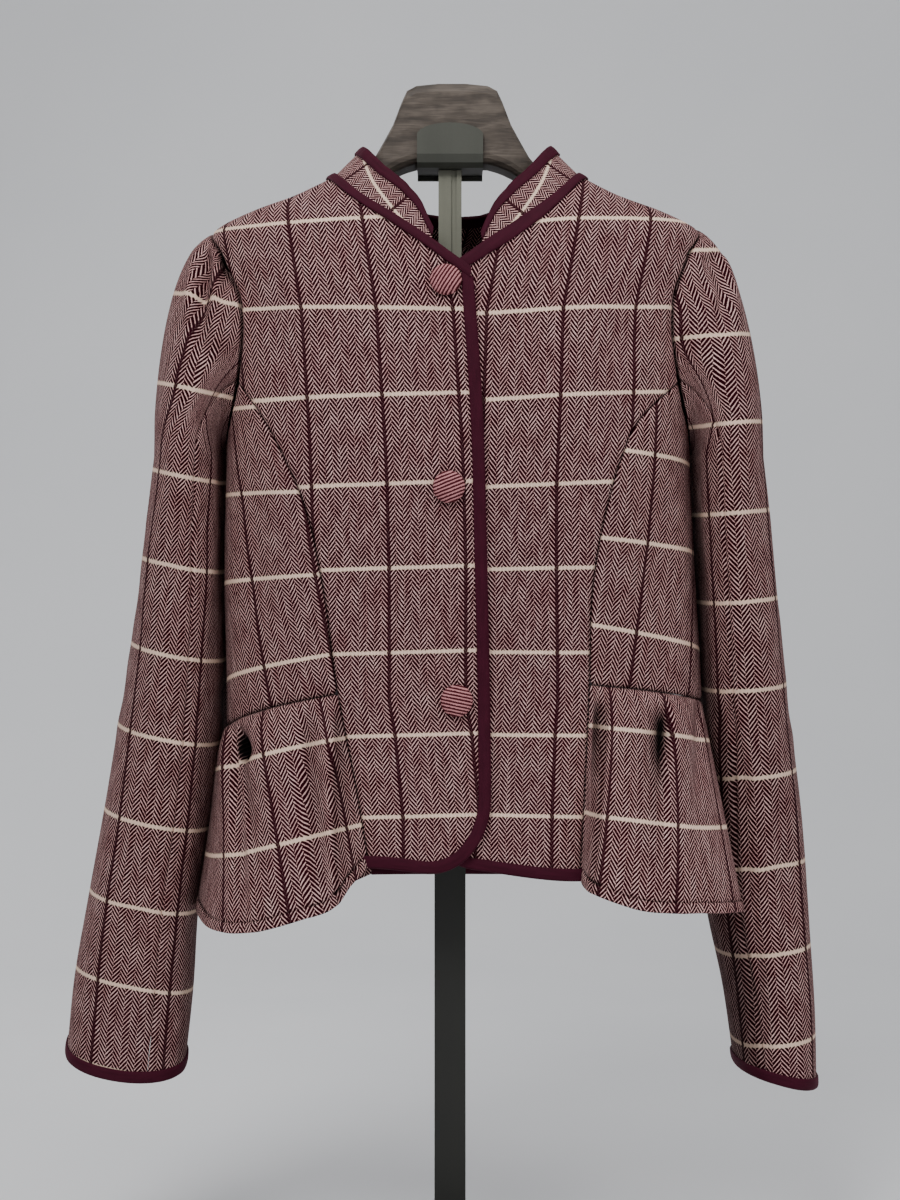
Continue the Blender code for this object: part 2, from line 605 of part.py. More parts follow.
def sleeve(side):
    """A sleeve's surface: a turn round it, from its outside to its front, and a share of its length."""
    table = SLEEVES[side][::-1]
    head_z, cuff_z = table[-1].height, table[0].height
    turns = np.linspace(-math.pi, 3 * math.pi, 721)
    arm_pairs = np.array([armhole(side, t) for t in turns])
    arm_points = torso(arm_pairs[:, 0], arm_pairs[:, 1])

    def ring(turn, height):
        outer, inner = read(table, "outer", height), read(table, "inner", height)
        come, go = (height - BACK_SWELL_FOOT) / BACK_SWELL_FADE, (head_z - height) / BACK_SWELL_FADE
        corner = (2 * np.clip(-np.sin(turn), 0, None) * np.clip(-np.cos(turn), 0, None)) ** 3
        swell = BACK_SWELL * ease(come) * ease(go) * corner
        x = side * ((outer + inner) / 2 + (outer - inner) / 2 * np.cos(turn) - swell)
        depth = read(table, "half_depth", height)
        y = read(table, "middle_y", height) - depth * np.sin(turn)
        near_cuff = ease((head_z - height) / (head_z - cuff_z))
        drop = CUFF_FRONT_DROP[side] * np.sin(turn) + CUFF_OUTER_DROP[side] * np.cos(turn)
        z = height - drop * near_cuff
        return np.stack([x, y, z], axis=-1)

    def tucks(turn, share):
        depth = 0
        for tuck in CAP_TUCKS:
            apart = (turn - tuck.angle + math.pi) % (2 * math.pi) - math.pi
            fade = 1 - ease(share / tuck.length)
            depth = depth + tuck.depth * np.exp(-((apart / tuck.width) ** 2)) * fade
        return depth

    def surface(turn, down):
        turn, down = np.broadcast_arrays(np.asarray(turn, float), np.asarray(down, float))
        t = np.clip(down / CAP_SHARE, None, 1)[..., None]
        start = np.stack([np.interp(turn, turns, arm_points[:, i]) for i in range(3)], axis=-1)
        end = ring(turn, np.full_like(turn, head_z))
        reach = np.linalg.norm(end - start, axis=-1)
        upper = (1 + np.cos(turn)) / 2
        out = CAP_REACH[side] * upper + UNDERARM_REACH * reach * (1 - upper)
        fall = reach * (CAP_FALL + UNDERARM_FALL * (1 - upper))
        leave = np.stack([side * out, -CAP_SPREAD * reach * np.sin(turn), -fall], axis=-1)
        arrive = np.stack([0 * out, 0 * out, -reach], axis=-1)
        head = (
            (2 * t**3 - 3 * t**2 + 1) * start + (t**3 - 2 * t**2 + t) * leave
            + (3 * t**2 - 2 * t**3) * end + (t**3 - t**2) * arrive
        )
        along = np.clip((down - CAP_SHARE) / (1 - CAP_SHARE), 0, None)
        arm = ring(turn, head_z + (cuff_z - head_z) * along)
        points = np.where((down < CAP_SHARE)[..., None], head, arm)
        sideways, back, under = TUCK_LEAN
        inward = np.stack([-side * sideways * np.cos(turn), back * np.sin(turn), -under * upper], axis=-1)
        fold = tucks(turn, down / CAP_SHARE) * (1 - np.exp(-down / TUCK_START))
        return points + unit(inward) * fold[..., None]

    return surface


# The neckline and the collar

def neck_loop():
    """Points of the neckline, from the right front edge round the back to the left one, with normals."""
    points, outward = [], []
    z = np.linspace(PIT_Z, NECK_POINT_Z, FRONT_ABOVE + 1)
    half = back_neck_offsets()[:-1]
    across = np.concatenate([-half[:0:-1], half])
    for side in (-1, 1):
        angle = angle_at_offset(neck_offset(side, z), z)
        angle[-1] = side * QUARTER_TURN
        surface = front_surface(side)
        half = surface(angle, z), normals(surface, angle, z)
        points.append(half[0] if side < 0 else half[0][::-1])
        outward.append(half[1] if side < 0 else half[1][::-1])
        if side < 0:
            back_z = back_neck_height(across)
            back = angle_at_offset(across, back_z, at_back=True)
            back[BACK_ABOVE - 1] = HALF_TURN
            points.append(torso(back, back_z))
            outward.append(normals(torso, back, back_z))
    return np.concatenate(points), unit(np.concatenate(outward))


def along(values, distances, line=None):
    """Values at distances along a line of points. The values are the points if no line is given."""
    line = values if line is None else line
    lengths = np.concatenate([[0], np.cumsum(np.linalg.norm(np.diff(line, axis=0), axis=1))])
    return np.stack([np.interp(distances, lengths, values[:, i]) for i in range(values.shape[1])], axis=-1)


def length_of(points):
    return float(np.linalg.norm(np.diff(points, axis=0), axis=1).sum())


def collar():
    """The collar's surface: a place round the neck, from right to left, and a share of its height."""
    loop, _ = neck_loop()
    total = length_of(loop)

    def surface(place, up):
        place, up = np.broadcast_arrays(np.asarray(place, float), np.asarray(up, float))
        base = along(loop, COLLAR_START + (total - 2 * COLLAR_START) * place)
        share = 1 - np.abs(1 - 2 * place)
        lean = read(COLLAR, "lean", share, "share")
        inward = np.stack([CENTRE_X - base[..., 0], NECK_AXIS_Y - base[..., 1], 0 * share], axis=-1)
        rise = unit(inward) * lean[..., None] + np.array([0, 0, 1]) * np.sqrt(1 - lean**2)[..., None]
        reach = SEAM + (read(COLLAR, "height", share, "share") - SEAM) * up
        return base + rise * reach[..., None]

    return surface


# Solids

def add_object(mesh, name, material, smooth_angle=50):
    mesh.materials.append(material)
    mesh.shade_smooth()
    mesh.set_sharp_from_angle(angle=math.radians(smooth_angle))
    found = bpy.data.objects.new(name, mesh)
    bpy.data.collections[COLLECTION_NAME].objects.link(found)
    return found


def loft(name, sections, material, closed=False, smooth_angle=50):
    """A solid through sections of like outlines: capped at both ends, or closed into a ring."""
    count, sides = sections.shape[:2]
    made = bmesh.new()
    rings = [[made.verts.new(p) for p in section] for section in sections]
    joins = list(zip(rings, rings[1:] + rings[:1])) if closed else list(zip(rings, rings[1:]))
    for ring, following in joins:
        for i in range(sides):
            j = (i + 1) % sides
            made.faces.new([ring[i], ring[j], following[j], following[i]])
    if not closed:
        made.faces.new(rings[0][::-1])
        made.faces.new(rings[-1])
    bmesh.ops.recalc_face_normals(made, faces=made.faces)
    mesh = bpy.data.meshes.new(name)
    made.to_mesh(mesh)
    made.free()
    return add_object(mesh, name, material, smooth_angle)


def wall(name, outer, inner, material):
    """A panel of cloth between two grids of points: each row is one flat section of the loft."""
    sections = np.concatenate([outer, inner[:, ::-1]], axis=1)
    rows, across = outer.shape[:2]
    made = bmesh.new()
    grid = [[made.verts.new(p) for p in row] for row in sections]
    ring = 2 * across
    for row, following in zip(grid, grid[1:]):
        for i in range(ring):
            j = (i + 1) % ring
            made.faces.new([row[i], row[j], following[j], following[i]])
    for row in (grid[0], grid[-1]):
        for i in range(across - 1):
            made.faces.new([row[i], row[i + 1], row[ring - 2 - i], row[ring - 1 - i]])
    bmesh.ops.triangulate(made, faces=made.faces, quad_method="SHORT_EDGE")
    bmesh.ops.recalc_face_normals(made, faces=made.faces)
    mesh = bpy.data.meshes.new(name)
    made.to_mesh(mesh)
    made.free()
    return add_object(mesh, name, material)


def trimmed(points, gaps):
    """Draws a grid's edges in by half a seam: gaps names the edges, of first and last row and column."""
    points = points.copy()
    pull = SEAM / 2
    if "first_row" in gaps:
        points[0] += pull * unit(points[1] - points[0])
    if "last_row" in gaps:
        points[-1] += pull * unit(points[-2] - points[-1])
    if "first_column" in gaps:
        points[:, 0] += pull * unit(points[:, 1] - points[:, 0])
    if "last_column" in gaps:
        points[:, -1] += pull * unit(points[:, -2] - points[:, -1])
    return points


def cloth(name, surface, a, b, material, gaps, outward=1):
    """A cloth wall on a surface, drawn in at its seams, with its thickness inside."""
    points = surface(a, b)
    facing = outward * normals(surface, a, b)
    outer = trimmed(points, gaps)
    inner = trimmed(points - facing * CLOTH, gaps)
    wall(name, outer, inner, material)


def edge_binding(name, edge, inside, facing, material, closed=False, inside_facing=None):
    """A tape folded over a cloth edge. edge and inside are points of the cloth's outer face."""
    inner_facing = facing if inside_facing is None else inside_facing
    away = unit(edge - inside)
    near, far = TAPE_GAP, TAPE_GAP + TAPE
    sections = np.stack(
        [
            inside + inner_facing * far,
            edge + facing * far + away * far,
            edge - facing * (CLOTH + far) + away * far,
            inside - inner_facing * (CLOTH + far),
            inside - inner_facing * (CLOTH + near),
            edge - facing * (CLOTH + near) + away * near,
            edge + facing * near + away * near,
            inside + inner_facing * near,
        ],
        axis=1,
    )
    return loft(name, sections, material, closed)


# Pieces of the jacket

def build_fronts(tweed, tape):
    for side, word in SIDES.items():
        grid = front_grid(side)
        angle, height = grid[..., 0], grid[..., 1]
        surface = front_surface(side)
        gaps = ("last_column", "last_row")
        cloth(f"front_{word}", surface, angle, height, tweed, gaps)
        build_front_binding(side, word, grid, surface, tape)


def build_front_binding(side, word, grid, surface, tape):
    """The tape that runs up the hem, round the corner and up the front edge to the neck tape."""
    pit_row = FRONT_BELOW + FRONT_MIDDLE
    path = np.concatenate([grid[0, ::-1], grid[1:pit_row, 0]])
    top = grid[pit_row, 0].copy()
    top[1] = PIT_Z - BINDING_TOP[0]
    top[0] = angle_at_offset(edge_offset(side, top[1]), top[1])
    path[-1] = top
    edge = surface(path[:, 0], path[:, 1])
    tangent = np.gradient(edge, axis=0)
    facing = normals(surface, path[:, 0], path[:, 1])
    inward = unit(np.cross(facing, tangent)) * -side
    inside = edge + inward * TAPE_WIDTH
    inside[-1, 2] = PIT_Z - BINDING_TOP[1]
    angle = angle_at_offset(inside[:, 0] - CENTRE_X, inside[:, 2])
    inside = surface(angle, inside[:, 2])
    edge[0] += unit(edge[1] - edge[0]) * SEAM
    inside[0] += unit(inside[1] - inside[0]) * SEAM
    edge_binding(f"edge_binding_{word}", edge, inside, facing, tape)


def build_sides(tweed):
    for side, word in SIDES.items():
        grid = side_grid(side)
        gaps = ("first_row", "last_row", "first_column", "last_column")
        cloth(f"side_{word}", torso, grid[..., 0], grid[..., 1], tweed, gaps)


def build_backs(tweed, tape):
    for side, word in SIDES.items():
        grid = back_grid(side)
        angle, height = grid[..., 0], grid[..., 1]
        cloth(f"back_{word}", torso, angle, height, tweed, ("first_column", "last_column", "last_row"))
        edge = torso(angle[0], height[0])
        inside = torso(angle[0], height[0] + TAPE_WIDTH)
        facing = normals(torso, angle[0], height[0])
        for line in (edge, inside):
            line[0] += unit(line[1] - line[0]) * SEAM
            line[-1] += unit(line[-2] - line[-1]) * SEAM
        edge_binding(f"back_hem_binding_{word}", edge, inside, facing, tape)


def build_peplums(tweed):
    for side, word in SIDES.items():
        surface = peplum(side)
        place = np.linspace(0, 1, 2 * len(PEPLUM_HEMS[side]) - 1)
        a, b = np.meshgrid(place, SEAM_DOWN)
        points = surface(a, b)
        facing = -side * normals(surface, a, b)
        facing[0] = unit(facing[0] * [1, 1, 0])
        outer, inner = points, points - facing * CLOTH
        for grid in (outer, inner):
            grid[0, 1::2] = (grid[0, :-1:2] + grid[0, 2::2]) / 2
        gaps = ("first_row", "first_column", "last_column")
        wall(f"peplum_{word}", trimmed(outer, gaps), trimmed(inner, gaps), tweed)


CAP_ROWS = np.array([0.002, 0.12, 0.27, 0.45, 0.7])
ARM_ROWS = np.linspace(CAP_SHARE, 1, 10)
SLEEVE_DOWN = np.concatenate([CAP_ROWS * CAP_SHARE, ARM_ROWS])


def build_sleeves(tweed, tape):
    gaps = ("first_column", "last_column", "first_row")
    for side, word in SIDES.items():
        surface = sleeve(side)
        top, under = upper_turns(side), under_turns(side)
        for kind, turn in (("top", top), ("under", under)):
            a, b = np.meshgrid(turn, SLEEVE_DOWN)
            cloth(f"{kind}_sleeve_{word}", surface, a, b, tweed, gaps, outward=side)
        turn = np.concatenate([top[:-1], under[:-1]])
        length = SLEEVES[side][0].height - SLEEVES[side][-1].height
        tape_share = (1 - CAP_SHARE) * TAPE_WIDTH / length
        edge, inside = surface(turn, 1.0), surface(turn, 1 - tape_share)
        facing = side * normals(surface, turn, np.full_like(turn, 1.0))
        edge_binding(f"cuff_binding_{word}", edge, inside, facing, tape, closed=True)


COLLAR_UP = np.array([0, 0.35, 0.7, 1.0])
COLLAR_NORMAL_STEP = 0.012     # the collar's normals are evened out over this share of its length
COLLAR_END = 0.01              # shortest step at the collar's ends
COLLAR_TAPE_WIDTH = 0.008
COLLAR_TAPE_SHARE = 0.72       # most of the collar's height that its tape may cover


def build_collar(tweed, tape):
    surface = collar()
    loop, outward = neck_loop()
    total = length_of(loop)
    distance = np.cumsum(np.linalg.norm(np.diff(loop, axis=0), axis=1))[:-1]
    place = (distance - COLLAR_START) / (total - 2 * COLLAR_START)
    place = np.concatenate([[0], place[(place > COLLAR_END) & (place < 1 - COLLAR_END)], [1]])
    a, b = np.meshgrid(place, COLLAR_UP)
    outer = surface(a, b)
    facing = -normals(surface, a, b, COLLAR_NORMAL_STEP)
    seat = COLLAR_START + (total - 2 * COLLAR_START) * place
    facing[0] = unit(along(outward, seat, loop))
    wall("collar", outer, outer - facing * CLOTH, tweed)
    heights = read(COLLAR, "height", 1 - np.abs(1 - 2 * place), "share")
    low = 1 - np.clip(COLLAR_TAPE_WIDTH / heights, 0, COLLAR_TAPE_SHARE)
    edge, inside = surface(place, 1.0), surface(place, low)
    inside_facing = -normals(surface, place, low, COLLAR_NORMAL_STEP)
    edge_binding("collar_binding", edge, inside, facing[-1], tape, inside_facing=inside_facing)


def build_neck_tape(tape):
    """A flat tape that lies under the neck seam from one front edge to the other."""
    seam, facing = neck_loop()
    tangent = unit(np.gradient(seam, axis=0))
    downward = unit(np.cross(facing, tangent))
    above = seam + downward * NECK_TAPE_GAP
    below, low_facing = on_jacket(seam + downward * NECK_TAPE_WIDTH)
    near, far = NECK_TAPE_GAP, NECK_TAPE_GAP + TAPE
    under = [below + low_facing * near, above + facing * near]
    over = [above + facing * far, below + low_facing * far]
    loft("neck_binding", np.stack(under + over, axis=1), tape)


def on_jacket(points):
    """Points moved onto the jacket at their own heights, with normals."""
    x, y, z = points.T
    angle = np.arctan2((x - CENTRE_X) / half_width(x < CENTRE_X, z), -y / half_depth(y < 0, z))
    placed = torso(angle, points[:, 2])
    left_front = np.arange(len(points)) >= len(points) - FRONT_ABOVE - 1
    placed[left_front] = front_surface(1)(angle[left_front], points[left_front, 2])
    return placed, normals(torso, angle, points[:, 2])


BUTTON_PROFILE_STEPS = 4


def build_buttons(tweed):
    """Covered buttons: a dome on a short shank, turned from a profile."""
    profile = [(0.0, BUTTON_LIFT + BUTTON_HEIGHT)]
    for i in range(1, BUTTON_PROFILE_STEPS + 1):
        turn = QUARTER_TURN * i / BUTTON_PROFILE_STEPS
        over_rim = (BUTTON_HEIGHT - BUTTON_RIM) * math.cos(turn)
        profile.append((BUTTON_RADIUS * math.sin(turn), BUTTON_LIFT + BUTTON_RIM + over_rim))
    profile += [(BUTTON_UNDER, BUTTON_LIFT), (SHANK_RADIUS, BUTTON_LIFT)]
    profile += [(SHANK_RADIUS, BUTTON_SEAT), (0.0, BUTTON_SEAT)]
    for number, (x, z) in enumerate(BUTTON_PLACES, start=1):
        angle = angle_at_offset(x - CENTRE_X, z)
        mesh = bpy.data.meshes.new(f"button_{number}")
        mesh.from_pydata([(r, 0, h) for r, h in profile], [(i, i + 1) for i in range(len(profile) - 1)], [])
        button = add_object(mesh, f"button_{number}", tweed)
        turned = button.modifiers.new("turn", "SCREW")
        turned.steps = turned.render_steps = 18
        turned.use_merge_vertices = True
        turned.merge_threshold = 0.00001
        turned.use_smooth_shade = True
        button.location = torso(angle, z)
        button.rotation_mode = "QUATERNION"
        facing = normals(torso, np.array([angle]), np.array([z]))[0]
        button.rotation_quaternion = Vector(facing).to_track_quat("Z", "Y")


# The stand

def extruded(name, outline, half_depth, bevel, material, upright=True):
    """A flat outline, extruded both ways. upright outlines lie in X and Z, others in X and Y."""
    curve = bpy.data.curves.new(name, "CURVE")
    curve.dimensions = "2D"
    curve.fill_mode = "BOTH"
    curve.extrude = half_depth - bevel
    curve.bevel_depth = bevel
    curve.bevel_resolution = 1
    curve.offset = -bevel
    spline = curve.splines.new("POLY")
    spline.points.add(len(outline) - 1)
    for point, (u, v) in zip(spline.points, outline):
        point.co = (u, v, 0, 1)
    spline.use_cyclic_u = True
    flat = bpy.data.objects.new(f"{name}_outline", curve)
    bpy.data.collections[COLLECTION_NAME].objects.link(flat)
    if upright:
        flat.rotation_euler = (QUARTER_TURN, 0, 0)
    bpy.context.view_layer.update()
    mesh = bpy.data.meshes.new_from_object(flat.evaluated_get(bpy.context.evaluated_depsgraph_get()))
    mesh.transform(flat.matrix_world)
    bpy.data.objects.remove(flat)
    cleaned = bmesh.new()
    cleaned.from_mesh(mesh)
    bmesh.ops.remove_doubles(cleaned, verts=cleaned.verts, dist=0.00001)
    bmesh.ops.recalc_face_normals(cleaned, faces=cleaned.faces)
    cleaned.to_mesh(mesh)
    cleaned.free()
    mesh.materials.clear()
    return add_object(mesh, name, material, smooth_angle=35)


def build_hanger(wood):
    """The hanger, through upright sections from the end of one arm over the neck to the other end."""
    halves = {}
    for side in (-1, 1):
        stations = []
        for arm in HANGER_ARMS:
            top = shoulder_under(side, arm.reach) - arm.sink
            radius = arm.half_thickness * ARM_ROUND
            x = CENTRE_X + side * arm.reach
            stations.append((x, top, top - arm.height, arm.half_thickness, radius))
        for row in HANGER_NECK:
            x = HANGER_NECK_X + side * row.half_width
            stations.append((x, row.top, row.bottom, row.half_thickness, HANGER_ROUND))
        halves[side] = stations
    sections = [rounded_section(*station) for station in halves[-1] + halves[1][::-1]]
    loft("hanger", np.array(sections), wood, smooth_angle=35)


def rounded_section(x, top, bottom, half_thickness, radius):
    """An upright rectangle in Y and Z with rounded corners."""
    points = []
    centres = ((1, 1), (-1, 1), (-1, -1), (1, -1))
    for corner, (sy, sz) in enumerate(centres):
        y, z = sy * (half_thickness - radius), (top - radius if sz > 0 else bottom + radius)
        for part in range(4):
            turn = QUARTER_TURN * (corner + part / 3)
            points.append((x, y + radius * math.cos(turn), z + radius * math.sin(turn)))
    return points


def shoulder_under(side, reach):
    """The height of the cloth's underside on the shoulder, at a distance from the jacket's centre."""
    heights = np.linspace(min(SHOULDER_TIP_Z.values()) - SLOPE_STEP, NECK_POINT_Z, 200)
    halves = half_width(side < 0, heights)
    over, nearer = np.interp([-reach, SLOPE_STEP - reach], -halves, heights)
    slope = math.atan2(nearer - over, SLOPE_STEP)
    return over - (CLOTH + HANGER_REST) / math.cos(slope)


def build_stand(wood, metal, dark_metal):
    build_hanger(wood)
    build_bracket(metal)
    build_rod(metal)
    build_post(dark_metal)
    build_base(dark_metal)


def build_bracket(metal):
    """A saddle round the hanger's middle: two arched cheeks joined under it, the back one longer."""
    gap = HANGER_NECK[-1].half_thickness + SEAM
    outside = gap + BRACKET_WALL
    floor_top = HANGER_ARCH_Z - 2 * SEAM
    middle, end = BRACKET_BEND
    profile = [
        (-outside, BRACKET_LIP_Z), (middle - outside, BRACKET_BEND_Z), (end - outside, BRACKET_FLOOR_Z),
        (gap, BRACKET_FLOOR_Z), (gap, BRACKET_BACK_Z), (outside, BRACKET_BACK_Z),
        (outside, BRACKET_TOP_Z), (gap, BRACKET_TOP_Z),
        (gap, floor_top), (-gap, floor_top),
        (-gap, BRACKET_TOP_Z), (-outside, BRACKET_TOP_Z),
    ]
    half = BRACKET_WIDTH / 2
    sections = np.array([[(x, y, z) for y, z in profile] for x in (-half, half)])
    saddle = loft("bracket", sections, metal, smooth_angle=30)
    wide, under = half + CUTTER_MARGIN, BRACKET_BACK_Z - CUTTER_MARGIN
    arch = [(-wide, under), (wide, under)]
    rise = BRACKET_TOP_Z - BRACKET_SHOULDER_Z
    for turn in np.linspace(0, HALF_TURN, 13):
        arch.append((wide * math.cos(turn), BRACKET_SHOULDER_Z + rise * math.sin(turn)))
    cutter = extruded("bracket_arch", arch, outside + CUTTER_MARGIN, 0.0, metal)
    bpy.data.collections[COLLECTION_NAME].objects.unlink(cutter)
    bpy.data.collections["cutters"].objects.link(cutter)
    cutter.hide_render = True
    cutter.display_type = "WIRE"
    trim = saddle.modifiers.new("arch", "BOOLEAN")
    trim.operation = "INTERSECT"
    trim.object = cutter


def build_rod(metal):
    """The slotted rod that carries the bracket and slides in the post."""
    half = ROD_WIDTH / 2
    width, depth = ROD_GROOVE
    slot = (ROD_GROOVE_X - width / 2, ROD_GROOVE_X + width / 2)
    outline = [
        (-half, -half), (slot[0], -half), (slot[0], depth - half), (slot[1], depth - half),
        (slot[1], -half), (half, -half), (half, half), (-half, half),
    ]
    sections = np.array([[(x, y, z) for x, y in outline] for z in (ROD_FOOT_Z, BRACKET_FLOOR_Z - SEAM)])
    loft("rod", sections, metal, smooth_angle=30)


def square(half, z):
    return [(-half, -half, z), (half, -half, z), (half, half, z), (-half, half, z)]


def build_post(metal):
    """A square tube, open at its top for the rod."""
    outer, inner = POST_WIDTH / 2, POST_WIDTH / 2 - POST_WALL
    floor = BASE_SIZE[2] + SEAM
    hollow = [square(inner, ROD_FOOT_Z - SEAM), square(inner, POST_TOP_Z)]
    outside = [square(outer, POST_TOP_Z), square(outer, floor)]
    loft("post", np.array(hollow + outside), metal, smooth_angle=30)


def build_base(metal):
    """A flat plate with rounded corners."""
    half_x, half_y = BASE_SIZE[0] / 2, BASE_SIZE[1] / 2
    outline = []
    for corner, (sx, sy) in enumerate([(1, 1), (-1, 1), (-1, -1), (1, -1)]):
        for i in range(7):
            turn = QUARTER_TURN * (corner + i / 6)
            x = sx * (half_x - BASE_CORNER) + BASE_CORNER * math.cos(turn)
            outline.append((x, sy * (half_y - BASE_CORNER) + BASE_CORNER * math.sin(turn)))
    plate = extruded("base", outline, BASE_SIZE[2] / 2, BASE_EDGE, metal, upright=False)
    plate.location.z = BASE_SIZE[2] / 2


# Materials and assembly

def material(name, colour, roughness, metallic=0.0):
    made = bpy.data.materials.new(name)
    made.use_nodes = True
    shader = made.node_tree.nodes["Principled BSDF"]
    shader.inputs["Base Color"].default_value = (*colour, 1)
    shader.inputs["Roughness"].default_value = roughness
    shader.inputs["Metallic"].default_value = metallic
    return made


def main():
    for found in list(bpy.data.objects):
        bpy.data.objects.remove(found)
    for name in (COLLECTION_NAME, "cutters"):
        bpy.context.scene.collection.children.link(bpy.data.collections.new(name))
    tweed = material("herringbone_tweed", (0.20, 0.09, 0.10), 0.92)
    tape = material("binding_tape", (0.055, 0.010, 0.022), 0.75)
    wood = material("stained_wood", (0.075, 0.062, 0.055), 0.55)
    metal = material("grey_metal", (0.13, 0.135, 0.12), 0.45, 0.6)
    dark_metal = material("black_metal", (0.018, 0.020, 0.020), 0.5, 0.4)
    build_fronts(tweed, tape)
    build_sides(tweed)
    build_backs(tweed, tape)
    build_peplums(tweed)
    build_sleeves(tweed, tape)
    build_collar(tweed, tape)
    build_neck_tape(tape)
    build_buttons(tweed)
    build_stand(wood, metal, dark_metal)


main()
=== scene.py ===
import math

import bpy
import numpy as np
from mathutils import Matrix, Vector


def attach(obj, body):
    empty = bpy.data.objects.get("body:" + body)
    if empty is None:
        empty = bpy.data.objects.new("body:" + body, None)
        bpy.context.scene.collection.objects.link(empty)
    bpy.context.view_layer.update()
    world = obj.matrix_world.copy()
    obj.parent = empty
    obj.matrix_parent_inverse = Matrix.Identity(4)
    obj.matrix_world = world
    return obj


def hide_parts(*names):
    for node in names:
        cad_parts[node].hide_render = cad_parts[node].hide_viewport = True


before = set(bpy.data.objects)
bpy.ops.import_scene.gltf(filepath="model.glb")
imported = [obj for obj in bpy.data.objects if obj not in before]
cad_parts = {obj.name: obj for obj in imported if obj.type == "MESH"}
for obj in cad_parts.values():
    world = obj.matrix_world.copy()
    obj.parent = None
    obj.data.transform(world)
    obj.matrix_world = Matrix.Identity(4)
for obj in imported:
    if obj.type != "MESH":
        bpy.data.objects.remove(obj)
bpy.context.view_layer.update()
print("frame loaded:", len(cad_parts), "nodes")

quarter = math.pi / 2
sides = {-1: "right", 1: "left"}     # the wearer's sides; the right one is at -X
clothThick = 0.002
seamGap = 0.0003


# curves, vectors and grids

def curve(at, knots, values):     # a cubic curve through the knots
    at, knots, values = (np.asarray(v, float) for v in (at, knots, values))
    slopes = np.gradient(values, knots)
    i = np.clip(np.searchsorted(knots, at) - 1, 0, len(knots) - 2)
    width = knots[i + 1] - knots[i]
    t = np.clip((at - knots[i]) / width, 0, 1)
    start = (2 * t**3 - 3 * t**2 + 1) * values[i] + (t**3 - 2 * t**2 + t) * width * slopes[i]
    end = (3 * t**2 - 2 * t**3) * values[i + 1] + (t**3 - t**2) * width * slopes[i + 1]
    return start + end


def straight(at, knots, values):     # straight lines through the knots, carried on past both ends
    knots, values = np.asarray(knots, float), np.asarray(values, float)
    i = np.clip(np.searchsorted(knots, at) - 1, 0, len(knots) - 2)
    return values[i] + (at - knots[i]) * (values[i + 1] - values[i]) / (knots[i + 1] - knots[i])


def ease(t):
    t = np.clip(t, 0, 1)
    return t * t * (3 - 2 * t)


def unit(vectors):
    return vectors / np.maximum(np.linalg.norm(vectors, axis=-1, keepdims=True), 1e-12)


def normalsOf(surface, a, b, step=2e-4):
    alongA = surface(a + step, b) - surface(a - step, b)
    alongB = surface(a, b + step) - surface(a, b - step)
    return unit(np.cross(alongA, alongB))


def refine(shares, parts):     # the same shares with each step divided
    shares = np.asarray(shares, float)
    count = len(shares) - 1
    return np.interp(np.linspace(0, count, count * parts + 1), np.arange(count + 1), shares)


def pairs(angles, heights):
    return np.stack(np.broadcast_arrays(np.asarray(angles, float), np.asarray(heights, float)), axis=-1)


def coons(bottom, top, left, right, across, up):
    u, v = np.asarray(across)[None, :, None], np.asarray(up)[:, None, None]
    low = (1 - u) * bottom[0] + u * bottom[-1]
    high = (1 - u) * top[0] + u * top[-1]
    edges = (1 - v) * bottom[None] + v * top[None] + (1 - u) * left[:, None] + u * right[:, None]
    return edges - (1 - v) * low - v * high


def lengthsAlong(points, axis=0):     # running lengths along the lines of a grid
    gaps = np.linalg.norm(np.diff(points, axis=axis), axis=-1)
    start = np.zeros_like(np.take(gaps, [0], axis=axis))
    return np.concatenate([start, np.cumsum(gaps, axis=axis)], axis=axis)


def wander(at, seed, scales=(1.0, 2.3, 4.1)):     # a smooth uneven wave from -1 to 1
    waves = [np.sin(at * scale + seed * (k + 1.7)) / (k + 1) for k, scale in enumerate(scales)]
    return sum(waves) / sum(1 / (k + 1) for k in range(len(scales)))


# the body of the jacket: angle 0 is the front, a quarter turn the side, a half turn the back

body = {
    "centre": 0.005,
    "height": [0.250, 0.305, 0.370, 0.430, 0.520, 0.600, 0.660, 0.720, 0.757, 0.777, 0.791, 0.804, 0.8145,
               0.8205, 0.830],
    "right": [0.170, 0.170, 0.172, 0.172, 0.1735, 0.172, 0.171, 0.175, 0.182, 0.181, 0.156, 0.122, 0.101,
              0.091, 0.078],
    "left": [0.182, 0.182, 0.182, 0.183, 0.178, 0.174, 0.173, 0.175, 0.181, 0.181, 0.156, 0.122, 0.102,
             0.092, 0.079],
    "front": [0.096, 0.092, 0.085, 0.080, 0.085, 0.089, 0.087, 0.079, 0.070, 0.062, 0.053, 0.043, 0.034,
              0.028, 0.020],
    "back": [0.090, 0.087, 0.079, 0.074, 0.078, 0.084, 0.086, 0.083, 0.077, 0.071, 0.062, 0.051, 0.041,
             0.035, 0.026],
    "square": [2.4, 2.4, 2.4, 2.4, 2.5, 2.6, 2.7, 2.7, 2.7, 2.6, 2.5, 2.5, 2.5, 2.5, 2.5],
    "lapDepth": 0.0062,
    "lapFade": (0.026, 0.090),
}


def bodyAt(name, height):
    return curve(height, body["height"], body[name])


def halfWidth(onRight, height):
    return np.where(onRight, bodyAt("right", height), bodyAt("left", height))


def halfDepth(inFront, height):
    return np.where(inFront, bodyAt("front", height), bodyAt("back", height))


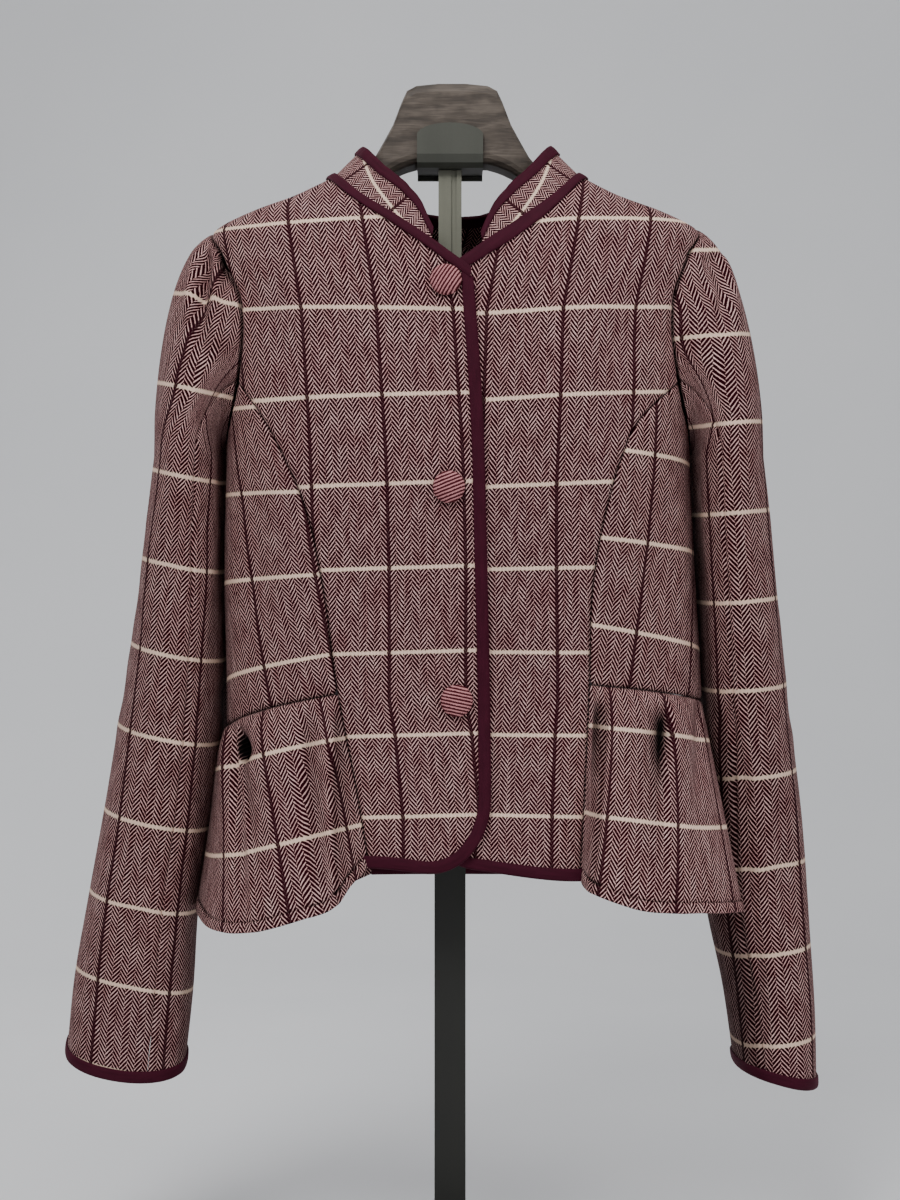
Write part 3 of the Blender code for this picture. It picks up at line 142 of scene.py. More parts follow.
def torso(angle, height):
    angle, height = np.broadcast_arrays(np.asarray(angle, float), np.asarray(height, float))
    power = bodyAt("square", height)
    sine, cosine = np.sin(angle), np.cos(angle)
    reach = (np.abs(sine) ** power + np.abs(cosine) ** power) ** (-1 / power)
    x = body["centre"] + halfWidth(angle < 0, height) * sine * reach
    y = -halfDepth(np.abs(angle) < quarter, height) * cosine * reach
    return np.stack([x, y, height], axis=-1)


def angleAtOffset(offset, height, atBack=False):
    offset, height = np.broadcast_arrays(np.asarray(offset, float), np.asarray(height, float))
    power = bodyAt("square", height)
    share = np.clip(np.abs(offset) / halfWidth(offset < 0, height), 0, 0.999999)
    angle = np.arctan2(share, (1 - share**power) ** (1 / power))
    return np.sign(offset) * (math.pi - angle if atBack else angle)


def angleAtDepth(side, y, height):
    power = bodyAt("square", height)
    share = np.clip(abs(y) / halfDepth(y < 0, height), 1e-6, 0.999999)
    angle = np.arctan2((1 - share**power) ** (1 / power), share)
    return side * (angle if y < 0 else math.pi - angle)


def frontSurface(side):     # the left front dips under the right one
    if side < 0:
        return torso
    near, far = body["lapFade"]

    def dipped(angle, height):
        points = torso(angle, height)
        sink = body["lapDepth"] * (1 - ease((points[..., 0] - body["centre"] - near) / (far - near)))
        return points - normalsOf(torso, angle, height) * sink[..., None]

    return dipped


def ringLength(start, angle, height):     # signed length round the body at one height
    steps = np.linspace(0, 1, 33)
    angles = start[..., None] + (angle - start)[..., None] * steps
    points = torso(angles, np.broadcast_to(height[..., None], angles.shape))
    return np.sign(angle - start) * np.linalg.norm(np.diff(points, axis=-2), axis=-1).sum(axis=-1)


# seam lines

seams = {
    "neckPointZ": 0.8205, "backNeckZ": 0.778, "backNeckCurve": 2.8, "pitZ": 0.741,
    "shoulderTipZ": {-1: 0.777, 1: 0.781}, "armholeFootZ": 0.617,
    "armholeFront": 0.048, "armholeBack": 0.050,
    "neckZ": [0.7410, 0.7537, 0.7650, 0.7810, 0.7970, 0.8205],
    "neckOffset": [-0.010, 0.007, 0.022, 0.045, 0.068, 0.0915],
    "edgeZ": [0.300, 0.360, 0.430, 0.530, 0.631, 0.741],
    "edgeOverlap": [0.0228, 0.0228, 0.0222, 0.0200, 0.0172, 0.0100],
    "princessTopZ": 0.662,
    "princessZ": {-1: [0.250, 0.314, 0.366, 0.436, 0.520, 0.577, 0.604, 0.631],
                  1: [0.250, 0.303, 0.366, 0.438, 0.520, 0.577, 0.604, 0.631]},
    "princess": {-1: [0.053, 0.063, 0.072, 0.086, 0.098, 0.112, 0.1245, 0.139],
                 1: [0.084, 0.088, 0.092, 0.0955, 0.0985, 0.110, 0.1185, 0.131]},
    "backPrincessZ": [0.250, 0.300, 0.366, 0.430, 0.520, 0.577, 0.631],
    "backPrincess": [0.060, 0.066, 0.074, 0.085, 0.095, 0.108, 0.131],
    # at the front seam, the side, the back seam
    "waist": {-1: (0.435, 0.4075, 0.428), 1: (0.442, 0.427, 0.438)},
    # at the front edge and the princess seam
    "frontHem": {-1: (0.305, 0.313), 1: (0.315, 0.3035)},
    # width and height of the rounded corner
    "corner": {-1: (0.0485, 0.057), 1: (0.036, 0.030)},
    "backHemZ": 0.288,
}


def armholeSpan(side):
    top, foot = seams["shoulderTipZ"][side], seams["armholeFootZ"]
    return (top + foot) / 2, (top - foot) / 2


def armhole(side, turn):
    middle, half = armholeSpan(side)
    height = middle + half * math.cos(turn)
    y = -math.sin(turn) * (seams["armholeFront"] if math.sin(turn) > 0 else seams["armholeBack"])
    if abs(y) < 1e-7:
        return side * quarter, height
    return float(angleAtDepth(side, y, height)), height


def armholeTurn(side, height):
    middle, half = armholeSpan(side)
    return math.acos((height - middle) / half)


def princess(side, height, atBack=False):
    top = seams["princessTopZ"]
    turn = armholeTurn(side, top)
    topAngle, _ = armhole(side, -turn if atBack else turn)
    topOffset = abs(torso(topAngle, top)[0] - body["centre"])
    heights = seams["backPrincessZ"] if atBack else seams["princessZ"][side]
    offsets = seams["backPrincess"] if atBack else seams["princess"][side]
    return angleAtOffset(side * curve(height, heights + [top], offsets + [topOffset]), height, atBack)


def neckOffset(side, height):
    return side * curve(height, seams["neckZ"], seams["neckOffset"])


def edgeOffset(side, height):
    return -side * curve(height, seams["edgeZ"], seams["edgeOverlap"])


def backNeckHeight(offset):
    rise = seams["neckPointZ"] - seams["backNeckZ"]
    return seams["backNeckZ"] + rise * (np.abs(offset) / seams["neckOffset"][-1]) ** seams["backNeckCurve"]


def waistHeight(side, angle):
    return curve(np.abs(angle), [math.radians(28), quarter, math.radians(151)], seams["waist"][side])


def frontHemHeight(side, offset):
    atEdge, atSeam = seams["frontHem"][side]
    width, height = seams["corner"][side]
    seam = float(curve(atSeam, seams["princessZ"][side], seams["princess"][side]))
    edge = float(curve(atEdge, seams["edgeZ"], seams["edgeOverlap"]))
    fromEdge = np.asarray(offset, float) * side + edge
    slope = atEdge + (atSeam - atEdge) * ease(fromEdge / (seam + edge))
    inside = np.clip(1 - fromEdge / width, 0, 1)
    return slope + height * (1 - np.sqrt(1 - inside**2))


# panel grids of angle and height, from the hem up

panelSteps = {
    "frontAcross": [0.0, 0.03, 0.085, 0.16, 0.27, 0.42, 0.60, 0.80, 1.0],
    "below": [0, 0.1, 0.22, 0.4, 0.6, 0.78, 0.918, 1.0],           # waist to hem
    "above": [0, 0.14, 0.28, 0.42, 0.56, 0.7, 0.82, 0.92, 1.0],    # waist to the armhole's foot
    "frontMiddle": 3, "frontTop": 7, "backMiddle": 3, "backTop": 6, "backAcross": 6,
    "fine": 7, "sideFine": 5, "capFine": 6,                        # parts of each step
}


def seamHeights(waist, hem):
    below, above = (refine(panelSteps[n], panelSteps["fine"]) for n in ("below", "above"))
    low = waist + (hem - waist) * below[::-1]
    high = waist + (seams["princessTopZ"] - waist) * above
    return np.concatenate([low[:-1], high])


def frontGrid(side):
    fine, top, pit = panelSteps["fine"], seams["neckPointZ"], seams["pitZ"]
    columns = refine(panelSteps["frontAcross"], fine)
    middleRows, topRows = panelSteps["frontMiddle"] * fine, panelSteps["frontTop"] * fine
    hemEdge, hemSeam = seams["frontHem"][side]
    cornerZ = hemEdge + seams["corner"][side][1]
    below = seamHeights(seams["waist"][side][0], cornerZ)
    middle = np.linspace(seams["princessTopZ"], pit, middleRows + 1)
    above = np.linspace(pit, top, topRows + 1)[1:]
    edgeZ = np.concatenate([below[:-1], middle, above])
    edgeX = np.where(edgeZ < pit + 1e-9, edgeOffset(side, edgeZ), neckOffset(side, edgeZ))
    edgeAngle = angleAtOffset(edgeX, edgeZ)
    edgeAngle[-1] = side * quarter
    seamZ = seamHeights(seams["waist"][side][0], hemSeam)
    turns = np.linspace(armholeTurn(side, seams["princessTopZ"]), 0, middleRows + topRows + 1)[1:]
    arm = np.array([armhole(side, turn) for turn in turns])
    left = pairs(edgeAngle, edgeZ)
    right = np.concatenate([pairs(princess(side, seamZ), seamZ), arm])
    first = edgeOffset(side, cornerZ)
    last = side * float(curve(hemSeam, seams["princessZ"][side], seams["princess"][side]))
    hemX = first + (last - first) * columns
    hemZ = frontHemHeight(side, hemX)
    bottom = pairs(angleAtOffset(hemX, hemZ), hemZ)
    bottom[0], bottom[-1] = left[0], right[0]
    shoulder = pairs(side * quarter, top + (seams["shoulderTipZ"][side] - top) * columns)
    grid = coons(bottom, shoulder, left, right, columns, (edgeZ - cornerZ) / (top - cornerZ))
    return grid, len(below) - 1 + middleRows     # the grid and its row at the neck pit


def underTurns(side):     # the lower part of the armhole
    turn = armholeTurn(side, seams["princessTopZ"])
    return turn + (2 * math.pi - 2 * turn) * refine(peplums[side]["waistShare"], panelSteps["sideFine"])


def upperTurns(side):     # the upper part, from the back over the shoulder to the front
    turn, parts = armholeTurn(side, seams["princessTopZ"]), panelSteps["capFine"]
    back = np.linspace(-turn, 0, (panelSteps["backMiddle"] + panelSteps["backTop"]) * parts + 1)
    front = np.linspace(0, turn, (panelSteps["frontMiddle"] + panelSteps["frontTop"]) * parts + 1)
    return np.concatenate([back, front[1:]])


def sideGrid(side):
    across = refine(peplums[side]["waistShare"], panelSteps["sideFine"])
    up = refine(panelSteps["above"], panelSteps["fine"])
    frontWaist, _, backWaist = seams["waist"][side]
    frontZ = frontWaist + (seams["princessTopZ"] - frontWaist) * up
    backZ = backWaist + (seams["princessTopZ"] - backWaist) * up
    left = pairs(princess(side, frontZ), frontZ)
    right = pairs(princess(side, backZ, True), backZ)
    waistAngle = left[0, 0] + (right[0, 0] - left[0, 0]) * across
    bottom = pairs(waistAngle, waistHeight(side, waistAngle))
    top = np.array([armhole(side, turn) for turn in underTurns(side)])
    bottom[0], bottom[-1], top[0], top[-1] = left[0], right[0], left[-1], right[-1]
    return coons(bottom, top, left, right, across, up)


def backNeckOffsets(parts):
    return seams["neckOffset"][-1] * np.sin(np.linspace(0, quarter, panelSteps["backTop"] * parts + 1))


def backGrid(side):
    fine, top, hem = panelSteps["fine"], seams["neckPointZ"], seams["backHemZ"]
    columns = np.linspace(0, 1, panelSteps["backAcross"] * fine + 1)
    lowZ = seamHeights(seams["waist"][side][2], hem)
    above = np.linspace(seams["princessTopZ"], seams["backNeckZ"], panelSteps["backMiddle"] * fine + 1)
    neckX = side * backNeckOffsets(fine)[1:]
    neckZ = backNeckHeight(neckX)
    neck = pairs(angleAtOffset(neckX, neckZ, True), neckZ)
    neck[-1] = side * quarter, top
    centreZ = np.concatenate([lowZ[:-1], above])
    left = np.concatenate([pairs(side * math.pi, centreZ), neck])
    rows = (panelSteps["backMiddle"] + panelSteps["backTop"]) * fine
    turns = np.linspace(armholeTurn(side, seams["princessTopZ"]), 0, rows + 1)[1:]
    arm = np.array([armhole(side, -turn) for turn in turns])
    right = np.concatenate([pairs(princess(side, lowZ, True), lowZ), arm])
    bottom = pairs(left[0, 0] + (right[0, 0] - left[0, 0]) * columns, hem)
    shoulder = pairs(side * quarter, top + (seams["shoulderTipZ"][side] - top) * columns)
    return coons(bottom, shoulder, left, right, columns, (left[:, 1] - hem) / (top - hem))


# shader helpers

class Wire:     # a socket that takes part in Python expressions
    def __init__(self, tree, socket):
        self.tree, self.socket = tree, socket

    def maths(self, operation, *values):
        made = self.tree.nodes.new("ShaderNodeMath")
        made.operation = operation
        for slot, value in zip(made.inputs, values):
            plug(self.tree, slot, value)
        return Wire(self.tree, made.outputs[0])

    def __add__(self, other):
        return self.maths("ADD", self, other)

    def __radd__(self, other):
        return self.maths("ADD", other, self)

    def __sub__(self, other):
        return self.maths("SUBTRACT", self, other)

    def __rsub__(self, other):
        return self.maths("SUBTRACT", other, self)

    def __mul__(self, other):
        return self.maths("MULTIPLY", self, other)

    def __rmul__(self, other):
        return self.maths("MULTIPLY", other, self)

    def __truediv__(self, other):
        return self.maths("DIVIDE", self, other)

    def __rtruediv__(self, other):
        return self.maths("DIVIDE", other, self)

    def __gt__(self, other):
        return self.maths("GREATER_THAN", self, other)

    def __abs__(self):
        return self.maths("ABSOLUTE", self)

    def fraction(self):
        return self.maths("FRACT", self)

    def clamped(self):
        return self.maths("MINIMUM", self.maths("MAXIMUM", self, 0.0), 1.0)


def plug(tree, socket, value):
    if isinstance(value, Wire):
        tree.links.new(value.socket, socket)
    else:
        socket.default_value = value


class Finish:     # one material and its nodes
    def __init__(self, name, **constants):
        self.material = bpy.data.materials.new(name)
        self.material.use_nodes = True
        self.tree = self.material.node_tree
        self.shader = self.tree.nodes["Principled BSDF"]
        for socket, value in constants.items():
            self.shader.inputs[socket.replace("_", " ")].default_value = value

    def node(self, kind, settings=None, links=None, out=0):
        made = self.tree.nodes.new(kind)
        for key, value in (settings or {}).items():
            if key == "stops":
                while len(made.color_ramp.elements) < len(value):
                    made.color_ramp.elements.new(1)
                for stop, (place, colour) in zip(made.color_ramp.elements, value):
                    stop.position, stop.color = place, (*colour, 1)
            else:
                setattr(made, key, value)
        for key, value in (links or {}).items():
            plug(self.tree, made.inputs[key], value)
        return Wire(self.tree, made.outputs[out])

    def noise(self, place, scale, detail=2.0, roughness=0.5):
        links = {"Vector": place, "Scale": scale, "Detail": detail, "Roughness": roughness}
        return self.node("ShaderNodeTexNoise", None, links)

    def mix(self, factor, first, second):     # colours
        return self.node("ShaderNodeMix", {"data_type": "RGBA"}, {0: factor, 6: first, 7: second}, 2)

    def scaled(self, place, factors):
        return self.node("ShaderNodeVectorMath", {"operation": "MULTIPLY"}, {0: place, 1: factors})

    def done(self, colour, roughness=None, height=None, bump=(0.3, 0.0004)):
        plug(self.tree, self.shader.inputs["Base Color"], colour)
        if roughness is not None:
            plug(self.tree, self.shader.inputs["Roughness"], roughness)
        if height is not None:
            strength, distance = bump
            raised = self.node("ShaderNodeBump", None,
                               {"Strength": strength, "Distance": distance, "Height": height})
            plug(self.tree, self.shader.inputs["Normal"], raised)
        return self.material


def rgb(red, green, blue):     # a screen colour as linear light
    linear = [((c / 255 + 0.055) / 1.055) ** 2.4 if c > 10 else c / 3295 for c in (red, green, blue)]
    return (*linear, 1.0)


# herringbone tweed with dark stripes along and cream lines across, drawn in metres on the panels' own maps

tweed = {
    "stripeRepeat": 0.0548, "lineRepeat": 0.0607,
    "columns": 5,                  # full chevrons between two stripes
    "twill": 0.00353,              # from one twill line to the next, along the cloth
    "twillTurns": 2.0,             # twill lines crossed by half a chevron
    "stripeHalf": 0.0015, "lineHalf": 0.00145,
    "dark": rgb(46, 3, 13), "darker": rgb(28, 2, 8),
    "light": rgb(214, 161, 159), "lighter": rgb(236, 194, 189),
    "stripe": rgb(40, 2, 14), "cream": rgb(250, 220, 198), "creamEdge": rgb(232, 198, 178),
    "buttonTwill": 0.0024, "buttonDark": rgb(62, 8, 20), "buttonLight": rgb(200, 138, 140),
}


def chevrons(u, v):     # 0 to 1 across each twill line
    across = (u / (tweed["stripeRepeat"] / tweed["columns"])).fraction()
    rise = abs(across - 0.5) * 2.0
    phase = (v / tweed["twill"] + rise * tweed["twillTurns"] + (across > 0.5) * 0.5).fraction()
    return abs(phase - 0.5) * 2.0


def tweedFinish(name):
    finish = Finish(name, Specular_IOR_Level=0.05)
    place = finish.node("ShaderNodeUVMap", {"uv_map": "weave"})
    fibre = finish.noise(place, 900.0, 3.0, 0.6) - 0.5
    slub = finish.noise(finish.scaled(place, (1.0, 0.25, 1.0)), 260.0, 2.0) - 0.5
    cloud = finish.noise(place, 38.0, 2.0) - 0.5
    split = finish.node("ShaderNodeSeparateXYZ", None, {0: place})
    u = split + fibre * 0.0006
    v = Wire(finish.tree, split.socket.node.outputs[1]) + slub * 0.0009
    yarn = chevrons(u, v)
    pale = ((yarn - 0.735 + fibre * 0.5 + slub * 0.35) / 0.2 + 0.5).clamped()
    darkYarn = finish.mix((cloud + fibre + 0.5).clamped(), tweed["dark"], tweed["darker"])
    paleYarn = finish.mix((slub * 1.6 + cloud + 0.5).clamped(), tweed["light"], tweed["lighter"])
    colour = finish.mix(pale, darkYarn, paleYarn)
    fromLine = abs((v / tweed["lineRepeat"] + 0.5).fraction() - 0.5) * tweed["lineRepeat"]
    ragged = (yarn - 0.5) * 0.0011 + fibre * 0.0006
    inLine = ((tweed["lineHalf"] + ragged - fromLine) / 0.0005 + 0.5).clamped()
    fromStripe = abs((u / tweed["stripeRepeat"] + 0.5).fraction() - 0.5) * tweed["stripeRepeat"]
    inStripe = ((tweed["stripeHalf"] - ragged * 0.5 - fromStripe) / 0.0004 + 0.5).clamped()
    cream = finish.mix((fibre + 0.5).clamped(), tweed["cream"], tweed["creamEdge"])
    colour = finish.mix(inLine * (0.93 + fibre * 0.6), colour, cream)
    colour = finish.mix(inStripe * (0.98 - pale * 0.08), colour, tweed["stripe"])
    # painted shade: the shells' painted-shade attribute darkens the cloth in seams, pleats, folds and at
    # the sleeve heads
    ditch = finish.node("ShaderNodeAttribute", {"attribute_name": "ditch"}, None, 2)
    value = (1.0 + cloud * 0.22) * (1 - ditch * ditch * 0.85)
    shade = finish.node("ShaderNodeHueSaturation", None, {"Value": value, "Color": colour})
    height = (pale * 0.7 + fibre * 0.5) * (1 - inStripe * 0.5) + inLine * 0.25
    return finish.done(shade, 0.88 + fibre * 0.15, height, (0.55, 0.0005))


def buttonFinish(name):     # the same cloth drawn tight over a button: one twill way only
    finish = Finish(name, Specular_IOR_Level=0.08)
    place = finish.node("ShaderNodeUVMap", {"uv_map": "weave"})
    fibre = finish.noise(place, 1400.0, 3.0, 0.6) - 0.5
    cloud = finish.noise(place, 120.0, 2.0) - 0.5
    split = finish.node("ShaderNodeSeparateXYZ", None, {0: place})
    v = Wire(finish.tree, split.socket.node.outputs[1]) + fibre * 0.0012 + cloud * 0.0008
    yarn = abs((v / tweed["buttonTwill"]).fraction() - 0.5) * 2.0
    pale = ((yarn - 0.60 + fibre * 0.8 + cloud * 0.4) / 0.45 + 0.5).clamped()
    colour = finish.mix(pale, tweed["buttonDark"], tweed["buttonLight"])
    return finish.done(colour, 0.8 + fibre * 0.2, pale * 0.6 + fibre * 0.5, (0.4, 0.0004))


def velvetFinish(name, base, raised):
    finish = Finish(name, Sheen_Weight=0.12, Sheen_Roughness=0.35, Sheen_Tint=rgb(190, 90, 120),
                    Specular_IOR_Level=0.12)
    place = finish.node("ShaderNodeUVMap", {"uv_map": "weave"})
    pile = finish.noise(place, 1500.0, 3.0, 0.65)
    brushed = finish.noise(finish.scaled(place, (1.0, 0.12, 1.0)), 420.0, 3.0)
    worn = finish.noise(place, 70.0, 2.0)
    colour = finish.mix((brushed * 0.7 + pile * 0.5 + worn * 0.4 - 0.35).clamped(), base, raised)
    return finish.done(colour, 0.62 + pile * 0.3, pile * 0.6 + brushed * 0.7, (0.35, 0.0004))


def liningFinish(name, base, raised):
    finish = Finish(name, Specular_IOR_Level=0.35)
    place = finish.node("ShaderNodeUVMap", {"uv_map": "weave"})
    threads = finish.noise(finish.scaled(place, (1.0, 0.15, 1.0)), 1600.0, 2.0)
    soft = finish.noise(place, 60.0, 2.0)
    colour = finish.mix((threads * 0.6 + soft * 0.4).clamped(), base, raised)
    return finish.done(colour, 0.42 + threads * 0.2, threads, (0.15, 0.0002))


finishes = {
    "tweed": tweedFinish("herringbone tweed"),
    "buttonTweed": buttonFinish("button cover"),
    "velvet": velvetFinish("velvet binding", rgb(42, 4, 19), rgb(72, 17, 38)),
    "lining": liningFinish("dark lining", rgb(20, 13, 16), rgb(38, 26, 30)),
}
print("cloth finishes made")


# cloth shells

def addMesh(name, points, faces, uv, materials, slots, sharp=50):
    mesh = bpy.data.meshes.new(name)
    mesh.from_pydata(points, [], faces)
    layer = mesh.uv_layers.new(name="weave")
    corners = np.empty(len(mesh.loops), np.int32)
    mesh.loops.foreach_get("vertex_index", corners)
    layer.data.foreach_set("uv", np.asarray(uv, np.float32)[corners].ravel())
    for material in materials:
        mesh.materials.append(material)
    mesh.polygons.foreach_set("material_index", np.asarray(slots, np.int32))
    mesh.shade_smooth()
    mesh.set_sharp_from_angle(angle=math.radians(sharp))
    made = bpy.data.objects.new(name, mesh)
    bpy.context.scene.collection.objects.link(made)
    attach(made, "root")
    return made


def quadsOf(rows, columns, start=0, closed=False):     # quads of a grid, closed round its columns if asked
    index = start + np.arange(rows * columns).reshape(rows, columns)
    following = np.roll(index, -1, axis=1)
    last = columns if closed else columns - 1
    quads = [index[:-1, :last], following[:-1, :last], following[1:, :last], index[1:, :last]]
    return np.stack(quads, axis=-1).reshape(-1, 4)


# two faces joined round their rims; faced marks where the inner face is tweed too; shade and the shaded
# seams are painted shade on both faces
def shell(name, outer, inner, uv, lining, faced=None, shadedSeams=(), shade=0):
    rows, columns = outer.shape[:2]
    count = rows * columns
    over, under = quadsOf(rows, columns), quadsOf(rows, columns, count)[:, ::-1]
    index = np.arange(count).reshape(rows, columns)
    rim = np.concatenate([index[0], index[1:, -1], index[-1, -2::-1], index[-2:0:-1, 0]])
    following = np.roll(rim, -1)
    edge = np.stack([following, rim, rim + count, following + count], axis=-1)
    middle = rows // 2, columns // 2
    facing = np.cross(outer[:, 1:, :][middle] - outer[middle], outer[1:][middle] - outer[middle])
    faces = np.concatenate([over, under, edge])
    if np.dot(facing, (outer - inner)[middle]) < 0:
        faces = faces[:, ::-1]
    hidden = np.ones(len(under), int)
    if faced is not None:
        hidden[faced[:-1, :-1].ravel()] = 0
    slots = np.concatenate([np.zeros(len(over), int), hidden, np.zeros(len(edge), int)])
    points = np.concatenate([outer.reshape(-1, 3), inner.reshape(-1, 3)])
    both = np.concatenate([uv.reshape(-1, 2)] * 2)
    made = addMesh(name, points, faces, both, [finishes["tweed"], finishes[lining]], slots)
    # painted shade: 1 on the sewn edges, where the seams' shadow falls, over the shade given
    ditch = np.zeros((2, rows, columns), np.float32) + np.asarray(shade, np.float32)
    edges = {"first": ditch[:, :, 0], "last": ditch[:, :, -1], "bottom": ditch[:, 0], "top": ditch[:, -1]}
    for edge in shadedSeams:
        edges[edge][...] = 1
    made.data.attributes.new("ditch", "FLOAT", "POINT").data.foreach_set("value", ditch.ravel())
    return made


def edgeDistances(points):     # distances from the four edges of a grid
    along, up = lengthsAlong(points, 1), lengthsAlong(points, 0)
    return {"first": along, "last": along[:, -1:] - along, "bottom": up, "top": up[-1:] - up}


seamRoll = {"width": 0.0034, "depth": 0.0017,
            "pucker": 0.00035, "puckerLength": 0.0052, "puckerReach": 0.010}


def sewn(points, facing, edges, seed=1.0):     # the cloth turns in at its seams and puckers beside them
    outer, inner = points.copy(), points - facing * clothThick
    reach = edgeDistances(points)
    for k, edge in enumerate(edges):
        near = np.clip(1 - reach[edge] / seamRoll["width"], 0, 1)
        along = reach["bottom"] if edge in ("first", "last") else reach["first"]
        wide = np.exp(-reach[edge] / seamRoll["puckerReach"])
        ripple = seamRoll["pucker"] * wander(along / seamRoll["puckerLength"], seed + k) * wide
        outer = outer - facing * (seamRoll["depth"] * near**2 - ripple)[..., None]
        inner = inner + facing * ripple[..., None]
    for grid in (outer, inner):
        lines = {"first": (grid[:, 0], grid[:, 1]), "last": (grid[:, -1], grid[:, -2]),
                 "bottom": (grid[0], grid[1]), "top": (grid[-1], grid[-2])}
        for edge in edges:
            line, beside = lines[edge]
            line += seamGap / 2 * unit(beside - line)
    return outer, inner


# creases laid one by one, each a line seen from the front, the back or the side; depth is inwards

def crease(seen, width, depth, *line, **ends):
    return {"seen": seen, "width": width, "depth": depth, "line": line, **ends}


creases = [
    crease("front", 0.013, 0.0016, (-0.148, 0.742), (-0.128, 0.700), (-0.116, 0.655)),
    crease("front", 0.014, 0.0018, (0.150, 0.742), (0.132, 0.705), (0.121, 0.660)),
    crease("front", 0.020, 0.0016, (-0.058, 0.640), (-0.064, 0.540), (-0.052, 0.440)),
    crease("front", 0.018, 0.0018, (0.062, 0.640), (0.070, 0.560), (0.064, 0.450)),
    crease("front", 0.012, 0.0020, (-0.150, 0.600), (-0.140, 0.540), (-0.146, 0.470)),
    crease("front", 0.012, 0.0020, (0.158, 0.590), (0.150, 0.530), (0.153, 0.470)),
    crease("front", 0.014, 0.0014, (-0.020, 0.395), (-0.030, 0.350), (-0.028, 0.315)),
    crease("front", 0.014, 0.0014, (0.052, 0.400), (0.058, 0.350), (0.056, 0.318)),
    crease("back", 0.016, 0.0022, (-0.130, 0.735), (-0.090, 0.690), (-0.040, 0.665)),
    crease("back", 0.016, 0.0022, (0.135, 0.735), (0.095, 0.685), (0.046, 0.658)),
    crease("back", 0.010, 0.0020, (-0.100, 0.500), (-0.040, 0.470), (-0.012, 0.462)),
    crease("back", 0.010, 0.0020, (0.104, 0.492), (0.050, 0.466), (0.020, 0.455)),
    crease("back", 0.013, 0.0020, (-0.050, 0.420), (-0.040, 0.360), (-0.042, 0.300)),
    crease("back", 0.013, 0.0020, (0.056, 0.420), (0.048, 0.360), (0.050, 0.300)),
]
creaseShape = {
    "start": 0.25, "end": 0.35,     # shares of a crease over which it comes and goes
    "uneven": 0.25, "unevenLength": 0.012,
    # the low ridges beside a trough, in its own widths
    "ridge": 0.4, "ridgeAt": 1.9, "ridgeTight": 1.6,
    "turnedAway": 2.2,
}


def creased(points, facing, lines):
    moved = np.zeros(points.shape[:-1])
    looks = {"front": -facing[..., 1], "back": facing[..., 1], "side": np.abs(facing[..., 0])}
    for k, laid in enumerate(lines):
        shape = {**creaseShape, **laid}
        flat = points[..., [1, 2] if laid["seen"] == "side" else [0, 2]]
        line = np.array(laid["line"])
        lengths = lengthsAlong(line[:, None, :])[:, 0]
        best, place = np.full(moved.shape, np.inf), np.zeros(moved.shape)
        for a, b, start in zip(line[:-1], line[1:], lengths[:-1]):
            way = b - a
            t = np.clip(((flat - a) @ way) / (way @ way), 0, 1)
            away = np.linalg.norm(flat - a - t[..., None] * way, axis=-1)
            place = np.where(away < best, start + t * np.linalg.norm(way), place)
            best = np.minimum(best, away)
        share = place / lengths[-1]
        fade = ease(share / shape["start"]) * ease((1 - share) / shape["end"])
        uneven = 1 + shape["uneven"] * wander(place / shape["unevenLength"], k)
        away = best / shape["width"]
        ridge = shape["ridge"] * np.exp(-((away - shape["ridgeAt"]) ** 2) * shape["ridgeTight"])
        trough = np.exp(-(away ** 2)) - ridge
        seen = ease(looks[laid["seen"]] * shape["turnedAway"])
        moved = moved + shape["depth"] * fade * uneven * trough * seen
    return points - facing * moved[..., None]


# grain: where the stripes and lines lie on each panel

tiltReach = 0.09
bodyLines = [0.290, 0.3482, 0.4056, 0.4647, 0.5253, 0.5853, 0.6489, 0.7119, 0.7797, 0.8400]
frontGrain = {
    -1: {"stripeZ": [0.300, 0.346, 0.406, 0.431, 0.526, 0.585, 0.617, 0.711, 0.7905, 0.820],
         "stripeX": [-0.0330, -0.0335, -0.0392, -0.0435, -0.0435, -0.0449, -0.0463, -0.0527, -0.0655,
                     -0.0690],
         "tiltZ": [0.30, 0.64, 0.71, 0.78], "tilt": [0.03, 0.03, -0.025, 0.05]},
    1: {"stripeZ": [0.300, 0.346, 0.406, 0.431, 0.526, 0.585, 0.648, 0.711, 0.800, 0.820],
        "stripeX": [0.0725, 0.0730, 0.0755, 0.0775, 0.0763, 0.0763, 0.0790, 0.0812, 0.0970, 0.1000],
        "tiltZ": [0.30, 0.46, 0.62, 0.80], "tilt": [-0.05, 0.0, 0.06, 0.03]},
}
sideGrain = {
    -1: {"stripeZ": [0.424, 0.4515, 0.517, 0.596], "stripeX": [-0.1296, -0.1346, -0.1454, -0.1548],
         "lines": [0.391, 0.454, 0.5175, 0.580, 0.6425], "tiltZ": [0.42, 0.45, 0.517, 0.58],
         "tilt": [0.22, 0.20, 0.06, 0.0]},
    1: {"stripeZ": [0.4395, 0.4785, 0.547, 0.608, 0.647],
        "stripeX": [0.1296, 0.1346, 0.1440, 0.1483, 0.1498],
        "lines": [0.415, 0.479, 0.5435, 0.6075, 0.6715], "tiltZ": [0.43, 0.479, 0.5435, 0.6075],
        "tilt": [-0.18, -0.17, -0.10, -0.10]},
}


def bodyGrain(angle, height, grain, lines):
    offset = straight(height, grain["stripeZ"], grain["stripeX"]) - body["centre"]
    u = ringLength(angleAtOffset(offset, height), angle, height)
    level = height - np.interp(height, grain["tiltZ"], grain["tilt"]) * np.clip(u, -tiltReach, tiltReach)
    v = straight(level, lines, np.arange(len(lines))) * tweed["lineRepeat"]
    return np.stack([u, v], axis=-1)


def asCloth(node, area):
    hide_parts(node)


def areaOf(points):
    across = np.diff(points, axis=1)[:-1]
    up = np.diff(points, axis=0)[:, :-1]
    return float(np.linalg.norm(np.cross(across, up), axis=-1).sum())


# fronts, sides and backs

facings = {"frontWidth": 0.065, "backZ": 0.715}     # where tweed shows on the inside too


